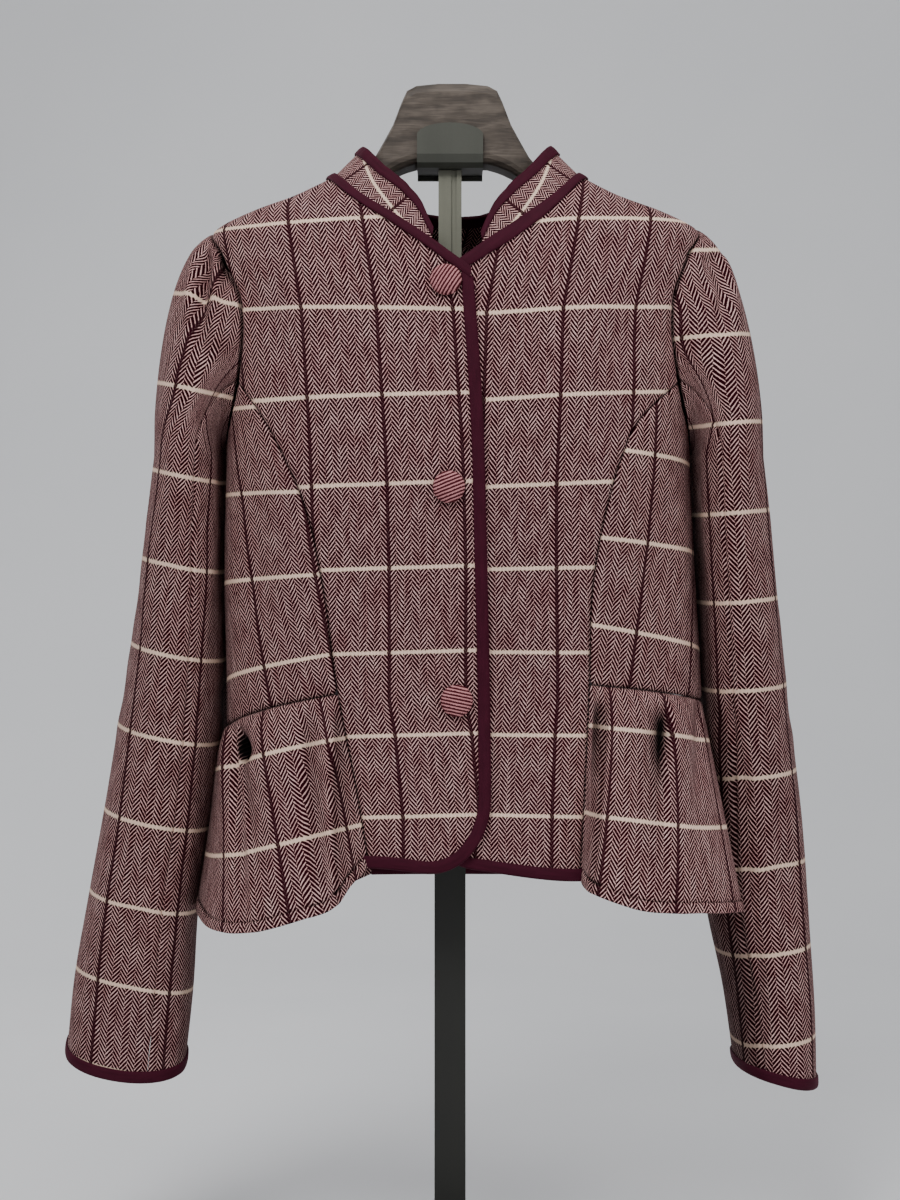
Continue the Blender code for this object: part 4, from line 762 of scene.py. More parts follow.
def bodyPanel(name, side, grid, uv, edges, seed, surface=torso, faced=None):
    angle, height = grid[..., 0], grid[..., 1]
    facing = normalsOf(surface, angle, height)
    points = creased(surface(angle, height), facing, creases)
    outer, inner = sewn(points, facing, edges, seed)
    inTweed = faced(points, height) if faced else None
    made = shell(f"{name}Panel_{sides[side]}", outer, inner, uv, "lining", inTweed, edges)
    asCloth(f"{name}_{sides[side]}", areaOf(points))


def makeFronts():
    grids = {side: frontGrid(side) for side in sides}
    for side, (grid, _) in grids.items():
        uv = bodyGrain(grid[..., 0], grid[..., 1], frontGrain[side], bodyLines)
        bodyPanel("front", side, grid, uv, ("last", "top"), 2.0 + side, frontSurface(side),
                  lambda points, height: edgeDistances(points)["first"] < facings["frontWidth"])
    return grids


def makeSides():
    for side, word in sides.items():
        grid = sideGrid(side)
        uv = bodyGrain(grid[..., 0], grid[..., 1], sideGrain[side], sideGrain[side]["lines"])
        bodyPanel("side", side, grid, uv, ("first", "last", "bottom", "top"), 4.0 + side)


def makeBacks():
    for side in sides:
        grid = backGrid(side)
        angle, height = grid[..., 0], grid[..., 1]
        fromCentre = ringLength(np.full_like(angle, side * math.pi), angle, height)
        u = fromCentre + side * tweed["stripeRepeat"] / 2
        v = straight(height, bodyLines, np.arange(len(bodyLines))) * tweed["lineRepeat"]
        uv = np.stack([u, v], axis=-1)
        bodyPanel("back", side, grid, uv, ("first", "last", "top"), 7.0 + side,
                  faced=lambda points, height: height > facings["backZ"])


# peplums: rows of folds from the front princess seam to the back one

peplums = {
    -1: {
        "waistShare": [0.00, 0.04, 0.09, 0.18, 0.27, 0.33, 0.38, 0.45, 0.53, 0.60, 0.66, 0.71, 0.77, 0.90,
                       1.00],
        "x": [-0.0580, -0.0700, -0.0810, -0.1050, -0.1310, -0.1460, -0.1610, -0.1765, -0.1875, -0.1840,
              -0.1660, -0.1460, -0.1200, -0.0850, -0.0615],
        "y": [-0.0935, -0.1060, -0.1150, -0.1180, -0.1120, -0.1030, -0.0880, -0.0620, -0.0250, 0.0220,
              0.0700, 0.0830, 0.1030, 0.1080, 0.0880],
        "z": [0.3130, 0.3010, 0.2870, 0.2790, 0.2710, 0.2680, 0.2660, 0.2675, 0.2760, 0.2770, 0.2750,
              0.2730, 0.2730, 0.2760, 0.2880],
        "puff": [0.0, 0.002, 0.005, 0.007, 0.006, -0.004, 0.005, 0.004, 0.005, 0.004, 0.003, -0.008, 0.006,
                 0.005, 0.0],
        "stripesAtWaist": (2.95, 5.75), "stripesAtHem": (3.24, 6.05), "firstLine": 0.031,
        "pleatsAndShades": [     # rows at the waist and the hem, widths on both sides in rows, depth inwards, and painted shade; entries with shade only paint shade where there is no fold
            {"rows": (4.10, 3.90), "widths": (0.50, 0.12), "depth": 0.013, "peak": 0.16, "end": 0.25},
            {"rows": (4.10, 3.90), "widths": (0.46, 0.26), "shade": 1.5, "peak": 0.16, "end": 0.24},
            {"rows": (4.05, 4.10), "widths": (0.55, 0.22), "depth": 0.004, "peak": 0.30, "end": 0.95,
             "shade": 0.62},
            {"rows": (1.75, 2.72), "widths": (0.75, 0.10), "depth": 0.0050, "peak": 0.15, "end": 1.60,
             "shade": 0.66},
            {"rows": (0.40, 2.00), "widths": (0.16, 0.60), "depth": -0.0070, "peak": 0.40, "end": 1.70},
            {"rows": (0.10, 1.85), "widths": (1.30, 0.08), "shade": 0.78, "peak": 0.12, "end": 2.50},
            {"rows": (5.20, 5.00), "widths": (0.50, 0.50), "depth": 0.0040, "peak": 0.45, "end": 1.30},
            {"rows": (8.00, 7.90), "widths": (0.90, 1.50), "shade": 0.72, "peak": 0.50, "end": 2.50},
            {"rows": (11.0, 11.0), "widths": (0.28, 0.34), "depth": 0.0100, "peak": 0.15, "end": 0.40},
        ],
    },
    1: {
        "waistShare": [0.00, 0.03, 0.07, 0.17, 0.27, 0.33, 0.38, 0.44, 0.49, 0.54, 0.62, 0.70, 0.77, 0.90,
                       1.00],
        "x": [0.0930, 0.0955, 0.1030, 0.1330, 0.1600, 0.1770, 0.1960, 0.2120, 0.1960, 0.1800, 0.1800,
              0.1650, 0.1420, 0.1020, 0.0715],
        "y": [-0.0915, -0.1020, -0.1110, -0.1180, -0.1120, -0.1030, -0.0880, -0.0640, -0.0400, -0.0120,
              0.0350, 0.0780, 0.1010, 0.1080, 0.0880],
        "z": [0.3035, 0.2990, 0.2950, 0.2860, 0.2830, 0.2820, 0.2800, 0.2780, 0.2760, 0.2720, 0.2700,
              0.2720, 0.2760, 0.2800, 0.2880],
        "puff": [0.0, 0.002, 0.005, 0.007, 0.004, -0.002, 0.001, 0.0, 0.0, -0.002, 0.001, -0.006, 0.006,
                 0.005, 0.0],
        "stripesAtWaist": (1.26, 2.93), "stripesAtHem": (2.00, 3.92), "firstLine": 0.029,
        "pleatsAndShades": [
            {"rows": (2.95, 3.85), "widths": (0.40, 0.10), "depth": 0.0065, "peak": 0.14, "end": 0.55,
             "shade": 1.0},
            {"rows": (2.75, 3.70), "widths": (0.70, 0.16), "depth": 0.0030, "peak": 0.35, "end": 1.20,
             "shade": 0.55},
            {"rows": (0.60, 1.00), "widths": (0.28, 0.28), "depth": 0.0060, "peak": 0.18, "end": 0.75,
             "shade": 0.45},
            {"rows": (1.20, 2.00), "widths": (1.20, 0.08), "shade": 0.72, "peak": 0.12, "end": 2.50},
            {"rows": (1.10, 1.90), "widths": (0.20, 0.50), "depth": -0.0035, "peak": 0.45, "end": 1.60},
            {"rows": (11.0, 11.0), "widths": (0.28, 0.34), "depth": 0.0090, "peak": 0.15, "end": 0.40},
        ],
    },
}
peplumShape = {
    "columns": 225, "fine": 10, "puffPeak": 0.16, "seamHold": 0.10, "seamFlat": 0.008,
    "hem": 0.0082, "hemPuff": 0.0006, "hemEase": 0.0025, "facing": 0.016,
    "stitchDip": 0.0012, "stitchWidth": 0.0011, "stitchShade": 0.8, "shadeWidth": 0.0010, "darkestShade": 1.08,
    "lineRepeat": 0.0615, "settle": 2.5,
}


def pleated(table, place, down, measure):     # the pleats' depths or painted shades added up
    total = np.zeros(place.shape)
    for pleat in table["pleatsAndShades"]:
        start, end = pleat["rows"]
        apart = place * (len(table["x"]) - 1) - start - (end - start) * down
        width = np.where(apart < 0, *pleat["widths"])
        opening = ease(down / pleat["peak"]) * ease((pleat["end"] - down) / (pleat["end"] - pleat["peak"]))
        total = total + pleat.get(measure, 0) * opening * np.exp(-((apart / width) ** 2))
    return total


def peplumSurface(side):
    table = peplums[side]
    keys = np.linspace(0, 1, len(table["x"]))
    frontWaist, _, backWaist = seams["waist"][side]
    front, back = float(princess(side, frontWaist)), float(princess(side, backWaist, True))

    def surface(place, down):
        place, down = np.broadcast_arrays(np.asarray(place, float), np.asarray(down, float))
        angle = front + (back - front) * curve(place, keys, table["waistShare"])
        top = torso(angle, waistHeight(side, angle))
        hem = np.stack([curve(place, keys, table[axis]) for axis in "xyz"], axis=-1)
        points = top + (hem - top) * down[..., None]
        outward = unit(normalsOf(torso, angle, waistHeight(side, angle)) * [1, 1, 0])
        rise = down / peplumShape["puffPeak"] * np.exp(1 - down / peplumShape["puffPeak"])
        stand = curve(place, keys, table["puff"]) * rise - pleated(table, place, down, "depth")
        points = points + outward * stand[..., None]
        for atBack in (False, True):
            fromSeam = (1 - place) if atBack else place
            hold = (1 - ease(fromSeam / peplumShape["seamHold"]))[..., None]
            row = -1 if atBack else 0
            startZ = backWaist if atBack else frontWaist
            seamZ = startZ + (table["z"][row] - startZ) * down
            start = torso(princess(side, startZ, atBack), startZ)
            end = np.array([table[axis][row] for axis in "xyz"])
            chord = start + (end - start) * down[..., None]
            points = points + (torso(princess(side, seamZ, atBack), seamZ) - chord) * hold
        return points

    return surface


def makePeplums():
    shape, edges = peplumShape, ("first", "last", "bottom")
    for side, word in sides.items():
        table, surface = peplums[side], peplumSurface(side)
        place, down = np.linspace(0, 1, shape["columns"]), refine(panelSteps["below"], shape["fine"])
        a, b = np.meshgrid(place, down)
        points, facing = surface(a, b), -side * normalsOf(surface, a, b)
        facing[0] = unit(facing[0] * [1, 1, 0])
        for column, edge in ((0, "first"), (-1, "last")):     # sewn flat to the panels beside it
            seamFacing = normalsOf(torso, *bodyPlace(points[:, column]))
            hold = ease(1 - edgeDistances(points)[edge] / shape["seamFlat"])[..., None]
            facing = unit(facing * (1 - hold) + seamFacing[:, None] * hold)
        fromHem = lengthsAlong(points, 0)[-1:] - lengthsAlong(points, 0)
        fromStitch = fromHem - shape["hem"]
        turned = shape["hemPuff"] * ease(-fromStitch / shape["hemEase"])
        stitched = shape["stitchDip"] * np.exp(-((fromStitch / shape["stitchWidth"]) ** 2))
        points = points + facing * (turned - stitched)[..., None]
        outer, inner = sewn(points, facing, edges, 9.0 + side)
        settled = 1 - (1 - b) ** shape["settle"]
        across = []     # in stripe repeats at the waist and at the hem
        for row, stripes in ((0, table["stripesAtWaist"]), (-1, table["stripesAtHem"])):
            lengths = lengthsAlong(points, 1)[row]
            first, second = np.interp(np.array(stripes) / (len(table["x"]) - 1), place, lengths)
            across.append((lengths - first) / (second - first))
        u = (across[0] + (across[1] - across[0]) * settled) * tweed["stripeRepeat"]
        fallen = table["firstLine"] + points[..., 2] - points[:1, :, 2]
        v = fallen / shape["lineRepeat"] * tweed["lineRepeat"]
        # painted shade: dark in and beside the pleats and folds, and along the stitched dip above the hem
        stitchDipShade = shape["stitchShade"] * np.exp(-((fromStitch / shape["shadeWidth"]) ** 2))
        paintedPeplumShade = np.clip(pleated(table, a, b, "shade") + stitchDipShade, 0, shape["darkestShade"])
        made = shell(f"peplumPiece_{word}", outer, inner, np.stack([u, v], axis=-1), "lining",
                     fromHem < shape["facing"], edges, paintedPeplumShade)
        asCloth(f"peplum_{word}", areaOf(points))


# sleeves: turn 0 is the outside, a quarter turn the front

sleeves = {
    -1: {"height": [0.1630, 0.2175, 0.2775, 0.3525, 0.4125, 0.4725, 0.5400, 0.6075],
         "outer": [0.2850, 0.2800, 0.2700, 0.2570, 0.2475, 0.2380, 0.2290, 0.2210],
         "inner": [0.1975, 0.1920, 0.1885, 0.1775, 0.1715, 0.1690, 0.1690, 0.1685],
         "middleY": [-0.009, -0.006, -0.003, 0.000, 0.002, 0.002, 0.001, 0.000],
         "halfDepth": [0.037, 0.040, 0.046, 0.052, 0.057, 0.062, 0.067, 0.070],
         "frontDrop": 0.011, "outerDrop": -0.006, "reach": 0.095,
         "stripeZ": [0.171, 0.2224, 0.2818, 0.344, 0.4084, 0.475, 0.5365, 0.6024, 0.666, 0.705],
         "stripeX": [0.2627, 0.2577, 0.2482, 0.2432, 0.2345, 0.2229, 0.2142, 0.2055, 0.1918, 0.1809],
         "lines": [0.102, 0.163, 0.2246, 0.2818, 0.3433, 0.4062, 0.4663, 0.5300, 0.5944, 0.6560, 0.7211,
                   0.785],
         "tilt": (0.20, 0.05), "capAxis": 0.150, "capTurn": 0.185, "spread": 1.0,
         # fold: the long fold's line, with painted shade inside it and painted shade over the whole sleeve
         "fold": {"z": [0.16, 0.62], "x": [0.205, 0.170], "shade": 0.65, "whole": 0.36, "top": 0.62},
         "capZ": [0.6075, 0.6825, 0.7390, 0.7725], "capRadius": [0.0705, 0.0610, 0.0510, 0.0330]},
    1: {"height": [0.1400, 0.1950, 0.2660, 0.3525, 0.4275, 0.4725, 0.5325, 0.6075],
        "outer": [0.2810, 0.2800, 0.2750, 0.2665, 0.2550, 0.2490, 0.2420, 0.2340],
        "inner": [0.2190, 0.2110, 0.1965, 0.1915, 0.1892, 0.1875, 0.1845, 0.1810],
        "middleY": [0.047, 0.047, 0.044, 0.032, 0.016, 0.008, 0.002, 0.000],
        "halfDepth": [0.0485, 0.048, 0.047, 0.054, 0.060, 0.063, 0.066, 0.069],
        "frontDrop": 0.001, "outerDrop": 0.008, "reach": 0.090,
        "stripeZ": [0.165, 0.238, 0.302, 0.369, 0.439, 0.507, 0.5735, 0.6375, 0.669, 0.714, 0.757],
        "stripeX": [0.2733, 0.2695, 0.2614, 0.2550, 0.2470, 0.2397, 0.2326, 0.2262, 0.2195, 0.2110, 0.1985],
        "lines": [0.107, 0.170, 0.2385, 0.304, 0.3735, 0.4385, 0.5030, 0.5675, 0.6320, 0.6960, 0.7600],
        "tilt": (0.08, 0.04), "capAxis": 0.158, "capTurn": 0.285, "spread": 0.82,
        # fold: the long fold's line, with painted shade inside it and painted shade over the whole sleeve
        "fold": {"z": [0.145, 0.2416, 0.3055, 0.3724, 0.436, 0.60],
                 "x": [0.2374, 0.2280, 0.2205, 0.2154, 0.1985, 0.186],
                 "shade": 0.80, "whole": 0.28, "top": 0.60},
        "capZ": [0.6075, 0.6525, 0.6975, 0.7350, 0.7690],
        "capRadius": [0.0730, 0.0680, 0.0610, 0.0520, 0.0390]},
}
sleeveShape = {
    "capShare": 0.30, "capFall": 0.15, "capSpread": 0.25, "underReach": 0.5, "underFall": 0.35,
    "tuckStart": 0.02, "tuckLean": (0.8, 1.0, 0.5), "square": 2.3,
    "backSwell": 0.016, "swellFoot": 0.345, "swellFade": 0.08,
    "headRows": [-0.024, 0.0, 0.024, 0.13, 0.27, 0.45, 0.7, 1.0], "headFine": 10, "armRows": 121,
    "tuckIn": 0.0022, "tuckInShare": 0.014, "tuckInShade": 1.5,
    "darkestShade": 0.9, "facedFrom": 0.955, "foldEase": 0.005, "foldTopEase": 0.08,
    "capEven": 0.35, "capBlend": 0.05, "capTurnFade": 0.09,
    # how the front stripe is found: turns tried, rows used, the pull to the row below, and the fit
    "tries": (0.02, math.pi - 0.02, 900), "underCap": 0.02, "steady": 0.03, "degree": 3,
    "wholeTurn": (-2.3, 5.3, 761),
}
capTucks = [     # angle and width in degrees, depth, and length as a share of the head
    {"angle": 32, "width": 9, "depth": 0.0045, "length": 0.45},
    {"angle": 4, "width": 9, "depth": 0.0030, "length": 0.35},
    {"angle": -28, "width": 9, "depth": 0.0040, "length": 0.40},
]
sleeveCreases = {
    -1: [
        crease("front", 0.0050, 0.0090, (-0.1775, 0.7680), (-0.1800, 0.7450), (-0.1815, 0.7190),
               (-0.1795, 0.6860), (-0.1755, 0.6600), start=0.22, end=0.55),
        crease("front", 0.0044, 0.0085, (-0.1700, 0.7680), (-0.1668, 0.7590), (-0.1640, 0.7380),
               (-0.1610, 0.7150), start=0.1, end=0.7),
        crease("front", 0.011, 0.0030, (-0.1860, 0.5750), (-0.2020, 0.5200), (-0.1990, 0.4600)),
        crease("front", 0.010, 0.0016, (-0.1860, 0.4250), (-0.2060, 0.4080), (-0.2220, 0.4030)),
        crease("front", 0.010, 0.0014, (-0.1940, 0.3700), (-0.2120, 0.3600), (-0.2280, 0.3620)),
        crease("front", 0.012, 0.0024, (-0.2200, 0.3200), (-0.2280, 0.2600), (-0.2350, 0.2000)),
        crease("back", 0.011, 0.0030, (-0.1900, 0.6000), (-0.2050, 0.5400), (-0.2020, 0.4700)),
        crease("back", 0.008, 0.0030, (-0.1900, 0.4300), (-0.2120, 0.4180), (-0.2350, 0.4230)),
        crease("back", 0.012, 0.0026, (-0.2220, 0.3300), (-0.2300, 0.2700), (-0.2380, 0.2100)),
        crease("side", 0.013, 0.0016, (-0.0250, 0.6400), (-0.0100, 0.5600), (-0.0180, 0.4800)),
        crease("side", 0.012, 0.0012, (0.0350, 0.4500), (0.0080, 0.4320), (-0.0250, 0.4360)),
    ],
    1: [
        crease("front", 0.0055, 0.0045, (0.1930, 0.7600), (0.1985, 0.7300), (0.2010, 0.6900), start=0.1),
        crease("front", 0.0045, 0.0030, (0.1860, 0.7560), (0.1870, 0.7400), (0.1880, 0.7150), start=0.1),
        crease("front", 0.011, 0.0026, (0.2150, 0.6000), (0.2240, 0.5300), (0.2260, 0.4600)),
        crease("front", 0.010, 0.0012, (0.2230, 0.4350), (0.2360, 0.4200), (0.2450, 0.4160)),
        crease("front", 0.0055, 0.0030, (0.1985, 0.4360), (0.2154, 0.3724), (0.2205, 0.3055),
               (0.2280, 0.2416), (0.2374, 0.1450), start=0.10, end=0.02),
        crease("front", 0.011, 0.0024, (0.2400, 0.3700), (0.2500, 0.3000), (0.2560, 0.2200)),
        crease("back", 0.011, 0.0030, (0.2000, 0.6000), (0.2150, 0.5400), (0.2200, 0.4700)),
        crease("back", 0.008, 0.0030, (0.2050, 0.4300), (0.2250, 0.4180), (0.2480, 0.4230)),
        crease("back", 0.012, 0.0026, (0.2300, 0.3300), (0.2400, 0.2700), (0.2450, 0.2000)),
        crease("side", 0.013, 0.0016, (-0.0250, 0.6400), (-0.0100, 0.5600), (-0.0140, 0.4800)),
        crease("side", 0.012, 0.0012, (0.0500, 0.4400), (0.0200, 0.4220), (-0.0150, 0.4260)),
    ],
}


def sleeveSurface(side):
    table, share = sleeves[side], sleeveShape["capShare"]
    headZ, cuffZ = table["height"][-1], table["height"][0]
    turns = np.linspace(-math.pi, 3 * math.pi, 721)
    arm = np.array([armhole(side, t) for t in turns])
    armPoints = torso(arm[:, 0], arm[:, 1])

    def level(name, height):
        return curve(height, table["height"], table[name])

    def ring(turn, height):
        outer, inner = level("outer", height), level("inner", height)
        nearCuff = ease((headZ - height) / (headZ - cuffZ))
        power = 2 + (sleeveShape["square"] - 2) * nearCuff
        swell = (np.abs(np.cos(turn)) ** power + np.abs(np.sin(turn)) ** power) ** (-1 / power)
        fade = sleeveShape["swellFade"]
        risen = ease((height - sleeveShape["swellFoot"]) / fade) * ease((headZ - height) / fade)
        corner = (2 * np.clip(-np.sin(turn), 0, None) * np.clip(-np.cos(turn), 0, None)) ** 3
        behind = sleeveShape["backSwell"] * corner * risen
        x = side * ((outer + inner) / 2 + (outer - inner) / 2 * np.cos(turn) * swell - behind)
        y = level("middleY", height) - level("halfDepth", height) * np.sin(turn) * swell
        drop = table["frontDrop"] * np.sin(turn) + table["outerDrop"] * np.cos(turn)
        return np.stack([x, y, height - drop * nearCuff], axis=-1)

    def surface(turn, down):
        turn, down = np.broadcast_arrays(np.asarray(turn, float), np.asarray(down, float))
        t = np.clip(down / share, None, 1)[..., None]
        start = np.stack([np.interp(turn, turns, armPoints[:, i]) for i in range(3)], axis=-1)
        end = ring(turn, np.full_like(turn, headZ))
        reach = np.linalg.norm(end - start, axis=-1)
        upper = (1 + np.cos(turn)) / 2
        out = table["reach"] * upper + sleeveShape["underReach"] * reach * (1 - upper)
        fall = reach * (sleeveShape["capFall"] + sleeveShape["underFall"] * (1 - upper))
        leave = np.stack([side * out, -sleeveShape["capSpread"] * reach * np.sin(turn), -fall], axis=-1)
        arrive = np.stack([0 * out, 0 * out, -reach], axis=-1)
        head = (2 * t**3 - 3 * t**2 + 1) * start + (t**3 - 2 * t**2 + t) * leave
        head = head + (3 * t**2 - 2 * t**3) * end + (t**3 - t**2) * arrive
        along = np.clip((down - share) / (1 - share), 0, None)
        points = np.where((down < share)[..., None], head, ring(turn, headZ + (cuffZ - headZ) * along))
        sideways, back, under = sleeveShape["tuckLean"]
        lean = [-side * sideways * np.cos(turn), back * np.sin(turn), -under * upper]
        inward = unit(np.stack(lean, axis=-1))
        depth = 0
        for tuck in capTucks:
            apart = (turn - math.radians(tuck["angle"]) + math.pi) % (2 * math.pi) - math.pi
            fold = np.exp(-((apart / math.radians(tuck["width"])) ** 2))
            depth = depth + tuck["depth"] * fold * (1 - ease(down / share / tuck["length"]))
        come = 1 - np.exp(-np.clip(down, 0, None) / sleeveShape["tuckStart"])
        return points + inward * (depth * come)[..., None]

    return surface


def makeSleeves():
    cuffEdges, shape, capShare = {}, sleeveShape, sleeveShape["capShare"]
    head = refine(shape["headRows"], shape["headFine"])[:-1] * capShare
    down = np.concatenate([head, np.linspace(capShare, 1, shape["armRows"])])
    fromHead = down[:, None] - down[0]
    # the head goes in under the armhole's edge
    tucked = np.clip(1 - fromHead / shape["tuckInShare"], 0, 1)
    for side, word in sides.items():
        surface = sleeveSurface(side)
        top, under = upperTurns(side), underTurns(side)
        for kind, turn in (("top", top), ("under", under)):
            a, b = np.meshgrid(turn, down)
            plain, facing = surface(a, b), side * normalsOf(surface, a, b)
            points = creased(plain, facing, sleeveCreases[side])
            points = points - facing * (shape["tuckIn"] * tucked)[..., None]
            outer, inner = sewn(points, facing, ("first", "last"), 12.0 + side)
            uv = sleeveGrain(side, plain, a, sleeveStripes(side, surface, turn, down))
            # painted shade: the head where it tucks in, the whole sleeve, and the cloth inside its long
            # fold
            shade = np.clip(tucked * shape["tuckInShade"] + foldShade(side, plain), 0, shape["darkestShade"])
            made = shell(f"{kind}SleevePiece_{word}", outer, inner, uv, "lining", b > shape["facedFrom"],
                         ("bottom",), shade)
            asCloth(f"{kind}_sleeve_{word}", areaOf(points))
        cuffEdges[side] = surface, np.concatenate([top[:-1], under[:-1]])
    return cuffEdges


def sleeveGrain(side, points, turn, u):     # in the head the stripes run about an upright axis
    table = sleeves[side]
    footZ = table["capZ"][0]
    x, y, z = side * points[..., 0], points[..., 1], points[..., 2]
    height = np.maximum(z, footZ)
    radius = np.interp(height, table["capZ"], table["capRadius"])
    onStripe = (straight(height, table["stripeZ"], table["stripeX"]) - table["capAxis"]) / radius
    aboutAxis = np.arctan2(-y, x - table["capAxis"])
    evened = sleeveShape["capEven"] * radius + (1 - sleeveShape["capEven"]) * table["capRadius"][0]
    fade = sleeveShape["capTurnFade"]
    eased = table["capTurn"] * ease((footZ + fade - height) / fade)     # meets the arm's own stripe
    capU = -side * evened * (aboutAxis - np.arccos(np.clip(onStripe, -1, 1)) - eased)
    inCap = ease((z - footZ) / sleeveShape["capBlend"]) * ease((np.cos(turn) + 0.5) / 0.5)
    u = (u + (capU - u) * inCap) * table["spread"]
    middle, depth = (curve(z, table["height"], table[name]) for name in ("middleY", "halfDepth"))
    tiltX, tiltY = table["tilt"]
    fromStripe = x - straight(z, table["stripeZ"], table["stripeX"])
    level = z - tiltX * fromStripe - tiltY * (y - (middle - depth))
    v = straight(level, table["lines"], np.arange(len(table["lines"]))) * tweed["lineRepeat"]
    return np.stack([u, v], axis=-1)


def foldShade(side, points):     # painted shade: the whole sleeve a little darker, and the cloth inside its long fold, which lies in its own shade, darker still
    fold = sleeves[side]["fold"]
    inside = np.interp(points[..., 2], fold["z"], fold["x"]) - side * points[..., 0]
    below = ease((fold["top"] - points[..., 2]) / sleeveShape["foldTopEase"])
    inFold = ease(inside / sleeveShape["foldEase"]) * below
    return fold["whole"] + (fold["shade"] - fold["whole"]) * inFold


def sleeveStripes(side, surface, turn, down):     # lengths round the sleeve from its front stripe
    table = sleeves[side]
    fronts = np.linspace(*sleeveShape["tries"])
    a, b = np.meshgrid(fronts, down)
    front = surface(a, b)
    miss = np.abs(side * front[..., 0] - straight(front[..., 2], table["stripeZ"], table["stripeX"]))
    lower = down > sleeveShape["capShare"] + sleeveShape["underCap"]
    start, found = fronts[miss[-1].argmin()], []
    for row in np.flatnonzero(lower)[::-1]:
        start = fronts[(miss[row] + sleeveShape["steady"] * np.abs(fronts - start)).argmin()]
        found.append(start)
    fitted = np.polynomial.Polynomial.fit(down[lower], found[::-1], sleeveShape["degree"])
    crossing = fitted(np.maximum(down, sleeveShape["capShare"]))     # the head's stripe runs on at one turn
    whole = np.linspace(*sleeveShape["wholeTurn"])
    rows = []
    for share, start in zip(down, crossing):
        lengths = lengthsAlong(surface(whole, np.full_like(whole, share)))
        rows.append(np.interp(turn, whole, lengths) - np.interp(start, whole, lengths))
    return -side * np.array(rows)


# collar and bindings

collar = {
    "share": [0.00, 0.06, 0.13, 0.26, 0.50, 0.75, 1.00], "start": 0.036, "axisY": 0.012,
    "height": [0.0100, 0.0240, 0.0295, 0.0310, 0.0290, 0.0285, 0.0280],
    "lean": [0.52, 0.56, 0.60, 0.64, 0.72, 0.74, 0.72],
    "slant": 0.40, "slantFade": 0.16, "slantLow": 0.008, "stripeFrom": 0.036, "lineFrom": 0.026,
    "neckParts": 8, "columns": 321, "rows": 25, "normalStep": 0.012, "seated": 0.35, "tapeShare": 0.72,
}
binding = {
    "thick": 0.0011, "gap": 0.0004, "lip": 0.0007,
    "widths": {"edge": 0.0075, "collar": 0.008, "neck": 0.0070},
    "flat": {"edge": 0.020, "collar": 0.022, "neck": 0.010},     # widths before folding
    "gathers": {"edge": (0.00026, 0.005), "collar": (0.0004, 0.0032), "neck": (0.00018, 0.007)},
    # the front tapes' ends under the neck tape
    "pitDrop": 0.0065, "pitSlant": 0.012, "pitRise": 0.0045,
    "frontTail": 3, "backTail": 1.5,     # grid steps past the peplums' seams
    "neckGap": 0.0008, "neckThick": 0.0003, "neckOver": 0.0004, "mitreLength": 0.016, "mitre": 0.75,
}


def neckLoop():
    points, outward, parts = [], [], collar["neckParts"]
    z = np.linspace(seams["pitZ"], seams["neckPointZ"], panelSteps["frontTop"] * parts + 1)
    half = backNeckOffsets(parts)[:-1]
    across = np.concatenate([-half[:0:-1], half])
    for side in (-1, 1):
        angle = angleAtOffset(neckOffset(side, z), z)
        angle[-1] = side * quarter
        surface = frontSurface(side)
        step = 1 if side < 0 else -1
        points.append(surface(angle, z)[::step])
        outward.append(normalsOf(surface, angle, z)[::step])
        if side < 0:
            backZ = backNeckHeight(across)
            back = angleAtOffset(across, backZ, True)
            back[len(half) - 1] = math.pi
            points.append(torso(back, backZ))
            outward.append(normalsOf(torso, back, backZ))
    return np.concatenate(points), unit(np.concatenate(outward))


def along(values, distances, line):
    lengths = lengthsAlong(line[:, None])[:, 0]
    return np.stack([np.interp(distances, lengths, values[:, i]) for i in range(values.shape[1])], axis=-1)


def collarSurface():
    loop, _ = neckLoop()
    total = float(lengthsAlong(loop[:, None])[-1, 0])

    def surface(place, up):
        place, up = np.broadcast_arrays(np.asarray(place, float), np.asarray(up, float))
        base = along(loop, collar["start"] + (total - 2 * collar["start"]) * place, loop)
        base = base.reshape(*place.shape, 3)
        share = 1 - np.abs(1 - 2 * place)
        lean = curve(share, collar["share"], collar["lean"])
        toAxis = [body["centre"] - base[..., 0], collar["axisY"] - base[..., 1], 0 * share]
        inward = np.stack(toAxis, axis=-1)
        rise = unit(inward) * lean[..., None] + np.array([0, 0, 1]) * np.sqrt(1 - lean**2)[..., None]
        reach = seamGap + (curve(share, collar["share"], collar["height"]) - seamGap) * up
        return base + rise * reach[..., None]

    return surface, total


def strip(name, node, sections, alongUv, acrossUv, closed=False):     # a tape through its sections
    count, points = sections.shape[:2]
    faces = quadsOf(count, points, 0, True)
    if closed:
        last = np.arange(points) + (count - 1) * points
        first = np.arange(points)
        seam = np.stack([last, np.roll(last, -1), np.roll(first, -1), first], axis=-1)
        faces = np.concatenate([faces, seam])
    else:
        ends = [list(range(points))[::-1], [i + (count - 1) * points for i in range(points)]]
        faces = faces.tolist() + ends
    uv = np.stack(np.broadcast_arrays(acrossUv[None, :], alongUv[:, None]), axis=-1).reshape(-1, 2)
    made = addMesh(name, sections.reshape(-1, 3), faces, uv, [finishes["velvet"]],
                   np.zeros(len(faces), int), 60)
    turnOut(made)
    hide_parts(node)
    return made


def turnOut(made):     # faces point outwards
    points = np.array([v.co for v in made.data.vertices])
    made.data.calc_loop_triangles()
    corners = np.array([t.vertices for t in made.data.loop_triangles])
    a, b, c = (points[corners[:, i]] for i in range(3))
    if (a * np.cross(b, c)).sum() < 0:
        made.data.flip_normals()


